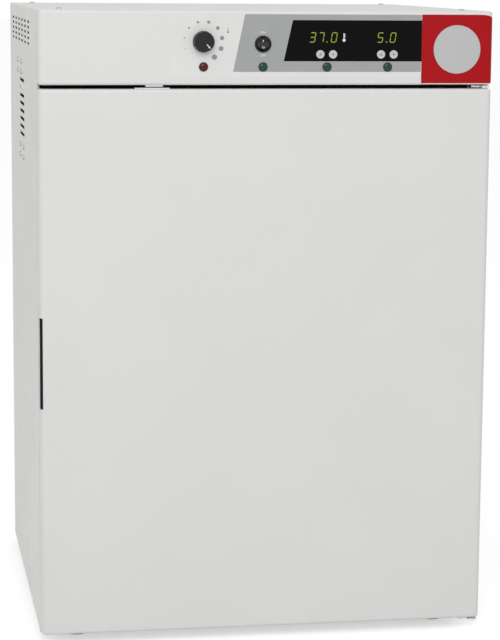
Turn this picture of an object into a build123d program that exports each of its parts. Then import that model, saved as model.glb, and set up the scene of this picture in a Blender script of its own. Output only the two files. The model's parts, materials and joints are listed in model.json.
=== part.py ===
from build123d import *
import math
import os

# Carbon dioxide incubator: an insulated cabinet with a solid outer door, an inner glass door,
# three shelves on racks, a ceiling blower and a control panel across the top.
# Millimetres. +X is right, +Y runs to the back, +Z is up. The origin is on the bench, under
# the middle of the whole outline.

os.makedirs("parts", exist_ok=True)

# Cabinet
body_width = 635.0
body_depth = 600.0
body_height = 876.0
foot_height = 15.0
sheet = 1.2
seam_drop = 71.5
side_flange = 18.0

# Door and control panel: two folded pans, one above the other
pan_depth = 20.0
pan_gap = 4.0
pan_side_edge = 7.5
pan_top_edge = 4.0
panel_height = 102.0
panel_gap = 5.4
door_lift = 2.0

# Gaps between pieces
soft_gap = 0.3
fit_gap = 0.2
shaft_clearance = 0.05
hole_clearance = 0.4

# Steps around the chamber's mouth, each a margin outside the chamber's section
seal_inner_margin = 2.0
seal_width = 5.0
mouth_lip = 2.0
glass_overlap = 3.0
glass_pin_clear = 8.0
recess_clear = 8.0
gasket_clear = 4.0
gasket_width = 12.5
gasket_edge_room = 19.0
step_corner = 14.0
seal_outer_margin = seal_inner_margin + seal_width
mouth_margin = seal_outer_margin + mouth_lip
glass_margin = mouth_margin + glass_overlap
glass_pin_margin = glass_margin + glass_pin_clear
recess_margin = glass_pin_margin + recess_clear
gasket_inner_margin = recess_margin + gasket_clear
gasket_outer_margin = gasket_inner_margin + gasket_width
wall_side = gasket_outer_margin + gasket_edge_room

# Insulation round the chamber, and the room under, over and behind it
side_void = 12.5
base_rim = 24.0
base_void = 5.0
deck_void = 9.0
deck_to_top = 126.0
back_insulation = 48.0
back_void = 33.0
mouth_depth = 62.0
insulation_margin = wall_side - side_void

# Chamber: what the walls leave inside the cabinet
liner_sheet = 1.0
liner_corner = 12.0
deck_height = body_height - deck_to_top
chamber_floor = base_rim + base_void + insulation_margin
ceiling = deck_height - deck_void - insulation_margin
chamber_width = body_width - 2 * wall_side
chamber_height = ceiling - chamber_floor
chamber_depth = body_depth - mouth_depth - back_insulation - back_void
chamber_mid = chamber_floor + chamber_height / 2
chamber_centre_depth = mouth_depth + chamber_depth / 2
liner_back = mouth_depth + chamber_depth
liner_flange_lead = 10.0
liner_flange = recess_margin - liner_flange_lead

# Door lining and pull
plug_clear = 10.0
plug_margin = recess_margin - plug_clear
latch_room = 28.0
plug_depth = mouth_depth - pan_depth - latch_room
plug_edge = 6.0
plug_edge_share = 0.45
pull_width = 4.3
pull_centre = 390.0
pull_length = 128.0
pull_reach = 23.0
pull_rear = 17.0
pull_wall = 1.6
pull_low = pull_centre - pull_length / 2
pull_high = pull_centre + pull_length / 2

# Door hinges
hinge_inset = 8.5
hinge_behind = 10.0
hinge_pin_radius = 3.0
hinge_pin_length = 13.0
bush_wall = 2.0
hinge_plate = 2.5
hinge_plate_width = 27.0
hinge_foot_length = 60.0
hinge_leaf_height = 19.0

# Glass door
glass_thickness = 5.0
glass_stand_off = 7.0
glass_depth = mouth_depth - glass_stand_off - glass_thickness
glass_corner = 10.0
glass_pin_lead = 3.0
glass_pin_depth = glass_depth - glass_pin_lead
glass_pin_radius = 2.5
knuckle_radius = 5.5
knuckle_height = 40.0
glass_hinge_inset = 110.0
leaf_thickness = 2.0
leaf_reach = 38.0
bolt_radius = 3.0
bolt_spacing = 22.0
latch_inset = 10.0
latch_knob_radius = 12.0
latch_arm_length = 26.5
latch_arm_thickness = 3.0
latch_height = chamber_mid

# Rails and shelves inside the chamber
rail_pitch = 76.2
first_rail_rise = 110.0
rail_width = 12.5
rail_sheet = 1.5
rack_stand_off = 1.5
rack_front = 18.0
rack_back = 19.0
upright_width = 20.0
upright_inset = 10.0
shelf_side_gap = 5.0
shelf_front = 22.0
shelf_back = 25.0
shelf_lip = 14.0
shelf_lip_gap = 3.0
shelf_slot_length = 56.0
shelf_slot_width = 12.0
shelf_slot_pitch_x = 74.0
shelf_slot_pitch_y = 46.0
shelf_slot_edge = 15.0
shelf_width = chamber_width - 2 * shelf_side_gap
shelf_length = chamber_depth - shelf_front - shelf_back
shelf_lip_width = chamber_width - 2 * (rack_stand_off + rail_width + shelf_lip_gap)

# Humidity pan
pan_side_room = 84.0
pan_end_room = 78.5
pan_height = 38.0
pan_rim = 8.0
pan_draft = 12.0

# Circulation blower
plenum_side_room = 54.0
plenum_end_room = 38.5
plenum_drop = 50.0
plenum_corner = 10.0
grille_slot_length = 26.0
grille_slot_width = 7.0
grille_inner_radius = 24.0
grille_outer_radius = 54.0
grille_inner_count = 8
grille_outer_count = 20
plenum_slot_length = 30.0
plenum_slot_height = 10.0
plenum_slot_pitch = 42.0
impeller_radius = 75.0
impeller_eye = 45.0
impeller_drop = 18.0
blade_height = 22.0
blade_thickness = 1.4
blade_count = 18
blade_sweep = 34.0
disc_thickness = 1.5
shaft_radius = 4.0
motor_radius = 36.0
motor_height = 58.0
motor_tube_radius = 12.0
motor_foot_radius = 48.0
motor_tube_overlap = 5.0
fan_depth = chamber_centre_depth
plenum_width = chamber_width - 2 * plenum_side_room
plenum_length = chamber_depth - 2 * plenum_end_room

# Heaters, deck and front frame
heater_thickness = 1.8
heater_edge_room = 50.0
deck_sheet = 1.5
deck_rim = 12.0
frame_overlap = 16.0

# Feet
foot_radius = 20.0
foot_inset_x = 55.0
foot_inset_front = 75.0
foot_inset_back = 60.0
foot_pad_height = 6.0
foot_stem_radius = 5.0
foot_stem_length = 34.0
foot_nut_radius = 10.0
insert_radius = 9.0
insert_height = 16.0

# Vent slots and case screws, as drops below the top and distances behind the case's middle
cover_slot_length = 38.0
cover_slot_height = 3.6
cover_slot_pitch = 67.5
cover_slot_row_pitch = 7.67
cover_slot_columns = 6
cover_slot_rows = 5
rear_slot_columns = 3
cover_slot_behind = 55.5
cover_slot_drop = 36.35
side_slot_length = 95.0
side_slot_height = 5.0
side_slot_pitch = 11.53
side_slot_count = 8
side_slot_behind = 31.0
side_slot_drop = 151.15
screw_radius = 4.0
screw_head = 2.4
screw_draft = 20.0
screw_rows = ((70.5, 83.4), (70.5, 98.5), (33.0, 209.6), (33.0, 224.3))
screw_pair_spacing = 75.0
top_screw_inset = 32.5
top_screw_front = 50.0
top_screw_back = 40.0

# Control panel fittings: distances in from the right side, and drops below the top
overlay_thickness = 0.5
overlay_corners = ((454.5, 93.0), (103.0, 4.6))
window_corners = ((296.9, 69.4), (102.4, 69.4), (102.4, 13.2), (284.6, 13.2))
window_flange = 3.0
window_flange_thickness = 1.6
badge_place = (51.5, 52.8)
badge_radius = 33.6
badge_thickness = 1.1
badge_bevel = 0.3
knob_place = (409.0, 42.8)
knob_radius = 14.7
knob_proud = 14.0
knob_gap = 0.6
knob_draft = 4.0
knob_bevel = 1.2
knob_shaft_radius = 3.0
flute_radius = 1.2
flute_count = 18
thermostat_bush_radius = 5.0
thermostat_width = 38.0
thermostat_height = 32.0
switch_place = (326.2, 45.9)
switch_bezel_radius = 11.6
switch_body_radius = 10.2
switch_body_depth = 24.0
switch_bezel_proud = 2.0
rocker_radius = 8.6
rocker_reach = 9.2
rocker_well = 9.5
rocker_tilt = 10.0
rocker_pivot_depth = 1.5
rocker_dish = 3.9
rocker_face = 5.5
button_radius = 5.75
button_shoulder = 0.9
button_places = {
    "temp_up": (245.8, 59.85),
    "temp_down": (228.0, 59.85),
    "co2_up": (160.1, 59.85),
    "co2_down": (142.2, 59.85),
}
button_proud = 1.8
button_bevel = 0.5
button_travel = 0.7
lamp_radius = 6.1
lamp_proud = 2.0
lamp_stem_radius = 4.6
lamp_stem_depth = 14.0
lamp_places = ((408.7, 77.2), (325.9, 77.2), (236.2, 77.2), (150.5, 77.2))
board_depth = 12.0
board_thickness = 1.6
board_corners = ((315.5, 90.0), (89.5, 8.0))
spacer_inset = 4.0
spacer_radius = 3.0
key_switch_depth = 6.0
key_switch_size = 6.0
display_width = 46.0
display_height = 20.0
display_places = ((242.5, 36.7), (152.0, 36.7))
ear_inset = 62.5
ear_reach = 70.0
ear_drop = 36.0

# Catch and strike: distances in from the left side
catch_span = (147.2, 171.2)
strike_span = (132.3, 180.5)
catch_front = 5.0
catch_back = 17.0
catch_height = 2.6
strike_height = 1.8

# Services above and behind the chamber
deck_fitting_height = 25.0
sensor_x = 90.0
sensor_behind_fan = 139.5
sensor_radius = 10.0
sensor_housing = (60.0, 50.0, 30.0)
probe_xs = (-140.0, -110.0)
probe_radius = 2.5
gland_radius = 8.0
probe_drop = 34.0
gas_inset = 147.5
gas_stub_radius = 3.175
gas_stub_length = 20.0
gas_hex_radius = 9.0
gas_hex_thickness = 6.0
gas_thread_radius = 5.0
gas_thread_length = 14.0
valve_width = 32.0
valve_length = 36.0
valve_height = 24.0
valve_coil_radius = 13.0
valve_foot_length = 58.0
valve_back = 100.0
filter_lead = 80.0
filter_radius = 22.0
filter_thickness = 18.0
gas_drop_lead = 90.0
gas_bend_radius = 20.0
inlet_inset = 117.5
inlet_drop = 76.0
inlet_flange = (50.0, 23.0)
inlet_body = (27.0, 19.6)
inlet_cavity = (24.2, 16.6)
inlet_cavity_corner = 4.8
inlet_depth = 20.0
inlet_socket_depth = 16.0
inlet_flange_thickness = 2.4
inlet_pin = (2.0, 4.0)
inlet_pin_spacing = 7.0
inlet_pin_stagger = 2.0
port_inset = 197.5
port_below_ceiling = 130.0
port_radius = 14.0
port_wall = 1.0
port_flange_radius = 23.0
port_flange_thickness = 2.0
stopper_depth = 42.0
stopper_head_radius = 20.0
stopper_head = 10.0
stopper_gap = 0.3
stopper_bevel = 2.0
supply_inset = 72.5
supply_back = 180.0
supply_width = 84.0
supply_height = 70.0
supply_stack = 40.0
core_leg = 14.0

# Places worked out from the sizes above
half_width = body_width / 2
rear_reach = gas_hex_thickness + gas_stub_length
front_y = -(body_depth + rear_reach - knob_proud) / 2
case_depth = pan_depth + pan_gap
panel_low = body_height - panel_height
door_high = panel_low - panel_gap
door_mid = (door_lift + door_high) / 2
seam_height = body_height - seam_drop
frame_depth = case_depth + sheet
frame_top = panel_low + frame_overlap
plug_back = pan_depth + plug_depth
hinge_x = half_width - hinge_inset
glass_pin_x = chamber_width / 2 + glass_pin_margin
latch_x = -(chamber_width / 2 - latch_inset + soft_gap)
glass_back = glass_depth + glass_thickness
deck_top = deck_height + deck_sheet
fitting_height = deck_top + deck_fitting_height
blower_top = ceiling - impeller_drop
bush_radius = hinge_pin_radius + shaft_clearance + bush_wall
case_middle = body_depth / 2
inlet_x = inlet_inset - half_width
gas_x = half_width - gas_inset
port_x = port_inset - half_width
valve_depth = body_depth - valve_back
filter_depth = valve_depth - filter_lead
gas_drop_depth = filter_depth - gas_drop_lead
sensor_depth = fan_depth + sensor_behind_fan
port_height = ceiling - port_below_ceiling
supply_place = (supply_inset - half_width, body_depth - supply_back)


def on_panel(place):
    """Place on the control panel, from its distance in from the right and its drop below the top."""
    return (half_width - place[0], body_height - place[1])


badge_centre = on_panel(badge_place)
knob_centre = on_panel(knob_place)
switch_centre = on_panel(switch_place)
button_centres = {name: on_panel(place) for name, place in button_places.items()}
lamp_centres = [on_panel(place) for place in lamp_places]
display_centres = [on_panel(place) for place in display_places]
window_outline = [on_panel(place) for place in window_corners]


def up(height):
    """Height above the bench of a point given above the body's underside."""
    return foot_height + height


def back(depth):
    """Y of a point given behind the door's front face."""
    return front_y + depth


def upright(depth):
    """Plane that faces the front; sketches on it are in X and Z, and negative extrusions go back."""
    return Plane.XZ.offset(-back(depth))


def level(height):
    """Level plane at a height above the body's underside; sketches on it are in X and Y."""
    return Plane.XY.offset(up(height))


def spanning(low, high):
    """Rectangle between two opposite corners, in the open sketch."""
    with Locations(((low[0] + high[0]) / 2, (low[1] + high[1]) / 2)):
        Rectangle(high[0] - low[0], high[1] - low[1])


def section(margin, radius):
    """Rounded outline that runs a margin outside the chamber's section, in the open sketch."""
    with Locations((0, up(chamber_mid))):
        RectangleRounded(chamber_width + 2 * margin, chamber_height + 2 * margin, radius)


def ring(depth, thickness, inner, outer, inner_radius, outer_radius):
    """Flat ring around the chamber's mouth, added to the open part."""
    with BuildSketch(upright(depth)) as band:
        section(outer, outer_radius)
        with BuildSketch(mode=Mode.PRIVATE) as hole:
            section(inner, inner_radius)
        add(hole.sketch, mode=Mode.SUBTRACT)
    extrude(band.sketch, amount=-thickness)


def round_bar(plane, radius, length, mode=Mode.ADD):
    """Cylinder that stands on a plane, added to or cut from the open part."""
    with BuildSketch(plane) as disc:
        Circle(radius)
    extrude(disc.sketch, amount=length, mode=mode)


def folded_pan(builder, low, high):
    """Folded sheet pan, open at the back: wide bends up both sides, tighter ones over and under."""
    with BuildSketch(level(low)) as plan:
        spanning((-half_width, back(0)), (half_width, back(pan_depth)))
        front_corners = plan.vertices().group_by(Axis.Y)[0]
        fillet(front_corners, pan_side_edge)
    extrude(plan.sketch, amount=high - low)
    rear = back(pan_depth)
    ends = builder.faces().sort_by(Axis.Z)
    for face in (ends[0], ends[-1]):
        bent = [edge for edge in face.edges() if edge.center().Y < rear - pan_top_edge / 2]
        fillet(bent, pan_top_edge)
    offset(amount=-sheet, openings=builder.faces().sort_by(Axis.Y)[-1])


def at_front(place, depth):
    """Plane that faces the front, centred on a place on the control panel."""
    return Plane(origin=(place[0], back(depth), up(place[1])), x_dir=(1, 0, 0), z_dir=(0, -1, 0))


def at_level(x, depth, height):
    """Level plane centred on a place in plan."""
    return Plane(origin=(x, back(depth), up(height)))


pieces = {}

# Cabinet side panels: C sections with folded edges, with a column of vent slots
with BuildPart() as side_panels:
    for side in (-1, 1):
        outer = side * half_width
        inner = side * (half_width - sheet)
        lip = side * (half_width - side_flange)
        near = back(case_depth)
        far = back(body_depth - sheet)
        with BuildSketch(level(0)):
            Polygon(
                (outer, near),
                (outer, far),
                (lip, far),
                (lip, far - sheet),
                (inner, far - sheet),
                (inner, near + sheet),
                (lip, near + sheet),
                (lip, near),
                align=None,
            )
        extrude(amount=seam_height)
    with BuildSketch(Plane.YZ.offset(-half_width)):
        with Locations((back(case_middle + side_slot_behind), up(body_height - side_slot_drop))):
            with GridLocations(0, side_slot_pitch, 1, side_slot_count):
                Rectangle(side_slot_length, side_slot_height)
    extrude(amount=body_width, mode=Mode.SUBTRACT)
pieces["side_panels"] = side_panels

# Base pan with four threaded bosses for the feet
foot_places = [
    (side * (half_width - foot_inset_x), depth)
    for side in (-1, 1)
    for depth in (foot_inset_front, body_depth - foot_inset_back)
]
with BuildPart() as base_pan:
    with BuildSketch(level(0)):
        spanning(
            (-(half_width - sheet - fit_gap), back(frame_depth + sheet + fit_gap)),
            (half_width - sheet - fit_gap, back(body_depth - 2 * sheet - fit_gap)),
        )
    extrude(amount=base_rim)
    offset(amount=-sheet, openings=base_pan.faces().sort_by(Axis.Z)[-1])
    for x, depth in foot_places:
        round_bar(at_level(x, depth, sheet), insert_radius, insert_height)
    for x, depth in foot_places:
        bore = foot_stem_radius + shaft_clearance
        round_bar(at_level(x, depth, 0), bore, insert_height + sheet, mode=Mode.SUBTRACT)
pieces["base_pan"] = base_pan

# Back panel with its openings
with BuildPart() as back_panel:
    with BuildSketch(upright(body_depth - sheet)):
        spanning((-half_width, up(0)), (half_width, up(body_height)))
        with Locations((gas_x, up(fitting_height))):
            Circle(gas_thread_radius + fit_gap, mode=Mode.SUBTRACT)
        with Locations((port_x, up(port_height))):
            Circle(port_radius + port_wall + fit_gap, mode=Mode.SUBTRACT)
        with Locations((inlet_x, up(body_height - inlet_drop))):
            Rectangle(inlet_body[0] + fit_gap, inlet_body[1] + fit_gap, mode=Mode.SUBTRACT)
        with Locations((0, up(body_height - cover_slot_drop))):
            with GridLocations(
                cover_slot_pitch, cover_slot_row_pitch, rear_slot_columns, cover_slot_rows
            ):
                Rectangle(cover_slot_length, cover_slot_height, mode=Mode.SUBTRACT)
    extrude(amount=-sheet)
pieces["back_panel"] = back_panel

# Front frame: a flat face with a recess that steps in to the chamber's mouth
with BuildPart() as front_frame:
    with BuildSketch(upright(frame_depth)):
        spanning((-(half_width - sheet), up(sheet)), (half_width - sheet, up(frame_top)))
        with BuildSketch(mode=Mode.PRIVATE) as recess_hole:
            section(recess_margin, step_corner)
        add(recess_hole.sketch, mode=Mode.SUBTRACT)
    extrude(amount=-sheet)
    recess_outer = (recess_margin + sheet, step_corner + sheet)
    ring(
        frame_depth, mouth_depth - frame_depth,
        recess_margin, recess_outer[0], step_corner, recess_outer[1],
    )
    ring(
        mouth_depth - sheet, sheet,
        mouth_margin, recess_outer[0], step_corner, recess_outer[1],
    )
pieces["front_frame"] = front_frame

# Top cover: a lid with two vented sides and a front edge folded down
with BuildPart() as top_cover:
    with BuildSketch(level(seam_height)):
        spanning((-half_width, back(case_depth)), (half_width, back(body_depth - sheet)))
    extrude(amount=seam_drop)
    top_edges = top_cover.faces().sort_by(Axis.Z)[-1].edges().filter_by(Axis.Y)
    fillet(top_edges, 2 * sheet)
    offset(
        amount=-sheet,
        openings=[top_cover.faces().sort_by(Axis.Z)[0], top_cover.faces().sort_by(Axis.Y)[-1]],
    )
    with BuildSketch(upright(case_depth)):
        spanning(
            (-(half_width - side_flange), up(seam_height)),
            (half_width - side_flange, up(body_height - side_flange / 2)),
        )
    extrude(amount=-sheet, mode=Mode.SUBTRACT)
    with BuildSketch(Plane.YZ.offset(-half_width)):
        with Locations((back(case_middle + cover_slot_behind), up(body_height - cover_slot_drop))):
            with GridLocations(
                cover_slot_pitch, cover_slot_row_pitch, cover_slot_columns, cover_slot_rows
            ):
                Rectangle(cover_slot_length, cover_slot_height)
    extrude(amount=body_width, mode=Mode.SUBTRACT)
pieces["top_cover"] = top_cover

# Equipment deck above the chamber
deck_holes = [(0, fan_depth, motor_tube_radius), (sensor_x, sensor_depth, sensor_radius)]
deck_holes += [(x, sensor_depth, probe_radius) for x in probe_xs]
deck_holes += [(gas_x, gas_drop_depth, gas_stub_radius)]
with BuildPart() as equipment_deck:
    with BuildSketch(level(deck_height)):
        spanning(
            (-(half_width - sheet - fit_gap), back(frame_depth + sheet + fit_gap)),
            (half_width - sheet - fit_gap, back(body_depth - 2 * sheet - fit_gap)),
        )
    extrude(amount=deck_rim)
    offset(amount=-deck_sheet, openings=equipment_deck.faces().sort_by(Axis.Z)[-1])
    for x, depth, radius in deck_holes:
        plane = at_level(x, depth, deck_height)
        round_bar(plane, radius + hole_clearance, deck_sheet, mode=Mode.SUBTRACT)
pieces["equipment_deck"] = equipment_deck

# Chamber liner: a coved box, open at the front, with a flange around its mouth
with BuildPart() as chamber_liner:
    with BuildSketch(upright(mouth_depth)):
        section(liner_sheet, liner_corner + liner_sheet)
    extrude(amount=-(chamber_depth + liner_sheet))
    fillet(chamber_liner.faces().sort_by(Axis.Y)[-1].edges(), liner_corner)
    offset(amount=-liner_sheet, openings=chamber_liner.faces().sort_by(Axis.Y)[0])
    ring(mouth_depth, liner_sheet, 0, liner_flange, liner_corner, step_corner)
    for x, depth, radius in deck_holes:
        plane = at_level(x, depth, ceiling - liner_sheet)
        round_bar(plane, radius + hole_clearance, 3 * liner_sheet, mode=Mode.SUBTRACT)
    round_bar(
        at_front((port_x, port_height), liner_back - liner_sheet),
        port_radius + port_wall + fit_gap,
        -3 * liner_sheet,
        mode=Mode.SUBTRACT,
    )
pieces["chamber_liner"] = chamber_liner

# Insulation around the liner
cavity_margin = liner_sheet + heater_thickness + fit_gap
cavity_corner = liner_corner + cavity_margin
with BuildPart() as chamber_insulation:
    with BuildSketch(upright(frame_depth + sheet + fit_gap)):
        section(insulation_margin, step_corner)
    extrude(amount=-(liner_back + back_insulation - frame_depth - sheet - fit_gap))
    with BuildSketch(upright(frame_depth)):
        section(recess_outer[0] + fit_gap, recess_outer[1])
    extrude(amount=-(mouth_depth + liner_sheet + fit_gap - frame_depth), mode=Mode.SUBTRACT)
    with BuildSketch(upright(mouth_depth)):
        section(cavity_margin, cavity_corner)
    extrude(amount=-(chamber_depth + cavity_margin), mode=Mode.SUBTRACT)
    for x, depth, radius in deck_holes:
        plane = at_level(x, depth, ceiling)
        round_bar(plane, radius + 2 * hole_clearance, insulation_margin, mode=Mode.SUBTRACT)
    round_bar(
        at_front((port_x, port_height), liner_back),
        port_radius + port_wall + hole_clearance,
        -(back_insulation + liner_sheet),
        mode=Mode.SUBTRACT,
    )
pieces["chamber_insulation"] = chamber_insulation

# Heater mats on the liner's outside: both sides and the floor
heater_length = chamber_depth - 2 * heater_edge_room
heater_span = chamber_height - 2 * heater_edge_room
with BuildPart() as chamber_heaters:
    for side in (-1, 1):
        wall = side * (chamber_width / 2 + liner_sheet)
        with BuildSketch(Plane.YZ.offset(wall)):
            with Locations((back(chamber_centre_depth), up(chamber_mid))):
                RectangleRounded(heater_length, heater_span, liner_corner)
        extrude(amount=side * heater_thickness)
    with BuildSketch(level(chamber_floor - liner_sheet - heater_thickness)):
        with Locations((0, back(chamber_centre_depth))):
            RectangleRounded(heater_length, heater_length, liner_corner)
    extrude(amount=heater_thickness)
pieces["chamber_heaters"] = chamber_heaters

# Soft seal that the glass door closes on
with BuildPart() as glass_seal:
    ring(
        glass_back + soft_gap, mouth_depth - glass_back - soft_gap,
        seal_inner_margin, seal_outer_margin, step_corner, step_corner,
    )
    chamfer(glass_seal.faces().sort_by(Axis.Y)[0].edges(), (seal_outer_margin - seal_inner_margin) / 4)
pieces["glass_seal"] = glass_seal

# Brackets that carry the glass door's pins, on the recess floor
glass_hinge_heights = (
    chamber_floor + glass_hinge_inset,
    ceiling - glass_hinge_inset,
)
ear_gap = knuckle_height / 2 + soft_gap
ear_thickness = leaf_thickness
recess_floor = mouth_depth - sheet
with BuildPart() as glass_hinge_brackets:
    for height in glass_hinge_heights:
        bracket_half = ear_gap + ear_thickness
        with BuildSketch(upright(recess_floor - leaf_thickness)):
            spanning(
                (glass_pin_x - knuckle_radius, up(height - bracket_half)),
                (glass_pin_x + knuckle_radius, up(height + bracket_half)),
            )
        extrude(amount=-leaf_thickness)
        for low in (height - bracket_half, height + ear_gap):
            with BuildSketch(level(low)):
                with Locations((glass_pin_x, back(glass_pin_depth))):
                    Circle(knuckle_radius)
                spanning(
                    (glass_pin_x - knuckle_radius, back(glass_pin_depth)),
                    (glass_pin_x + knuckle_radius, back(recess_floor)),
                )
            extrude(amount=ear_thickness)
        round_bar(
            at_level(glass_pin_x, glass_pin_depth, height - bracket_half),
            glass_pin_radius,
            2 * bracket_half,
        )

pieces["glass_hinge_brackets"] = glass_hinge_brackets

# Keeper that the latch arm turns behind
keeper_post = 3.0
keeper_hook = 2.0
keeper_half = 8.0
keeper_left = latch_x - latch_arm_length - keeper_post - soft_gap
arm_depth = glass_depth - 2 * latch_arm_thickness
with BuildPart() as latch_keeper:
    with BuildSketch(level(latch_height - keeper_half)):
        hook_front = back(arm_depth - soft_gap - keeper_hook)
        hook_back = back(arm_depth - soft_gap)
        hook_right = -(chamber_width / 2 + glass_margin + 2 * soft_gap)
        post_right = keeper_left + keeper_post
        Polygon(
            (keeper_left, hook_front),
            (hook_right, hook_front),
            (hook_right, hook_back),
            (post_right, hook_back),
            (post_right, back(recess_floor)),
            (keeper_left, back(recess_floor)),
            align=None,
        )
    extrude(amount=2 * keeper_half)
pieces["latch_keeper"] = latch_keeper

# Shelf racks: two uprights on each side wall, with an angle rail hooked on at each level
wall_x = chamber_width / 2
first_rail = chamber_floor + first_rail_rise
rail_levels = int((ceiling - plenum_drop - rail_width - first_rail) // rail_pitch) + 1
rail_front = mouth_depth + rack_front
rail_back = liner_back - rack_back
with BuildPart() as shelf_racks:
    for depth in (rail_front + upright_inset, rail_back - upright_inset - upright_width):
        for side in (-1, 1):
            with BuildSketch(level(first_rail - rail_pitch / 2)):
                with Locations((side * (wall_x - rack_stand_off / 2), back(depth + upright_width / 2))):
                    Rectangle(rack_stand_off, upright_width)
            extrude(amount=rail_pitch * rail_levels)
    for side in (-1, 1):
        for step in range(rail_levels):
            top = up(first_rail + step * rail_pitch)
            wall = side * (wall_x - rack_stand_off - fit_gap)
            lip = side * (wall_x - rack_stand_off - rail_width)
            web = side * (wall_x - rack_stand_off - rail_sheet - fit_gap)
            with BuildSketch(upright(rail_front)):
                Polygon(
                    (wall, top - rail_width),
                    (wall, top),
                    (lip, top),
                    (lip, top - rail_sheet),
                    (web, top - rail_sheet),
                    (web, top - rail_width),
                    align=None,
                )
            extrude(amount=-(rail_back - rail_front))
pieces["shelf_racks"] = shelf_racks

# Shelves: slotted sheet with the front and back edges folded down
shelf_step = (rail_levels - 1) // 2
slot_columns = int((shelf_width - 2 * shelf_slot_edge) // shelf_slot_pitch_x)
slot_rows = int((shelf_length - 2 * shelf_slot_edge) // shelf_slot_pitch_y)
for number, name in enumerate(("shelf_low", "shelf_middle", "shelf_top")):
    shelf_height = first_rail + number * shelf_step * rail_pitch + soft_gap
    shelf_near = mouth_depth + shelf_front
    with BuildPart() as shelf:
        with BuildSketch(level(shelf_height)):
            with Locations((0, back(shelf_near + shelf_length / 2))):
                RectangleRounded(shelf_width, shelf_length, liner_corner)
                with GridLocations(shelf_slot_pitch_x, shelf_slot_pitch_y, slot_columns, slot_rows):
                    Rectangle(shelf_slot_length, shelf_slot_width, mode=Mode.SUBTRACT)
        extrude(amount=liner_sheet)
        for edge in (shelf_near, shelf_near + shelf_length - liner_sheet):
            with BuildSketch(upright(edge)):
                with Locations((0, up(shelf_height + liner_sheet - shelf_lip / 2))):
                    Rectangle(shelf_lip_width, shelf_lip)
            extrude(amount=-liner_sheet)
    pieces[name] = shelf

# Humidity pan on the chamber floor: drafted walls and a flat rim
tray_width = chamber_width - 2 * pan_side_room
tray_length = chamber_depth - 2 * pan_end_room
with BuildPart() as humidity_pan:
    pan_plane = at_level(0, chamber_centre_depth, chamber_floor)
    rim = pan_rim + pan_height * math.tan(math.radians(pan_draft))
    with BuildSketch(pan_plane):
        RectangleRounded(tray_width, tray_length, liner_corner)
    extrude(amount=pan_height, taper=-pan_draft)
    with BuildSketch(pan_plane.offset(pan_height - liner_sheet)):
        RectangleRounded(tray_width + 2 * rim, tray_length + 2 * rim, 2 * liner_corner)
    extrude(amount=liner_sheet)
    with BuildSketch(pan_plane.offset(liner_sheet)):
        RectangleRounded(
            tray_width - 2 * liner_sheet, tray_length - 2 * liner_sheet, liner_corner - liner_sheet
        )
    extrude(amount=pan_height, taper=-pan_draft, mode=Mode.SUBTRACT)
pieces["humidity_pan"] = humidity_pan

# Plenum: a tray under the ceiling with a guard grille below the blower and slots along its sides
plenum_low = ceiling - plenum_drop
plenum_slots = int((plenum_length - 2 * plenum_corner) // plenum_slot_pitch)
with BuildPart() as air_plenum:
    with BuildSketch(at_level(0, fan_depth, plenum_low)):
        RectangleRounded(plenum_width, plenum_length, plenum_corner)
    extrude(amount=plenum_drop)
    fillet(air_plenum.faces().sort_by(Axis.Z)[0].edges(), plenum_corner / 2)
    offset(amount=-liner_sheet, openings=air_plenum.faces().sort_by(Axis.Z)[-1])
    with BuildSketch(at_level(0, fan_depth, ceiling - liner_sheet)):
        RectangleRounded(plenum_width + 2 * plenum_corner, plenum_length + 2 * plenum_corner, plenum_corner)
        RectangleRounded(
            plenum_width - liner_sheet, plenum_length - liner_sheet, plenum_corner, mode=Mode.SUBTRACT
        )
    extrude(amount=liner_sheet)
    with BuildSketch(at_level(0, fan_depth, plenum_low)):
        for radius, count in (
            (grille_inner_radius, grille_inner_count),
            (grille_outer_radius, grille_outer_count),
        ):
            with PolarLocations(radius, count):
                Rectangle(grille_slot_length, grille_slot_width)
    extrude(amount=liner_sheet, mode=Mode.SUBTRACT)
    with BuildSketch(Plane.YZ.offset(-plenum_width / 2)):
        with Locations((back(fan_depth), up(ceiling - plenum_drop / 2))):
            with GridLocations(plenum_slot_pitch, 0, plenum_slots, 1):
                Rectangle(plenum_slot_length, plenum_slot_height)
    extrude(amount=plenum_width, mode=Mode.SUBTRACT)
pieces["air_plenum"] = air_plenum

# Blower motor, with the tube that brings its shaft down through the insulation
motor_bore = shaft_radius + shaft_clearance
shaft_top = deck_top + motor_height - motor_radius / 2
with BuildPart() as fan_motor:
    round_bar(at_level(0, fan_depth, deck_top), motor_foot_radius, 2 * sheet)
    round_bar(at_level(0, fan_depth, deck_top), motor_radius, motor_height)
    chamfer(fan_motor.faces().sort_by(Axis.Z)[-1].edges(), 3 * sheet)
    bore_low = at_level(0, fan_depth, ceiling - 2 * liner_sheet)
    round_bar(bore_low, motor_tube_radius, deck_top - ceiling + motor_tube_overlap)
    round_bar(bore_low, motor_bore, shaft_top - ceiling + 2 * liner_sheet, mode=Mode.SUBTRACT)
    with BuildSketch(at_level(0, fan_depth, deck_top + motor_height / 4)):
        with PolarLocations(motor_radius, 16):
            Rectangle(3 * sheet, 2 * sheet)
    extrude(amount=motor_height / 2, mode=Mode.SUBTRACT)
pieces["fan_motor"] = fan_motor

# Impeller: backward-curved blades between a disc with a hub and an inlet ring
hub_radius = 3 * shaft_radius
blade_inner = impeller_eye * 0.95
blade_outer = impeller_radius - 2 * blade_thickness


def on_circle(radius, degrees):
    """Point at a radius and an angle in plan."""
    return (radius * math.cos(math.radians(degrees)), radius * math.sin(math.radians(degrees)))


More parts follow.
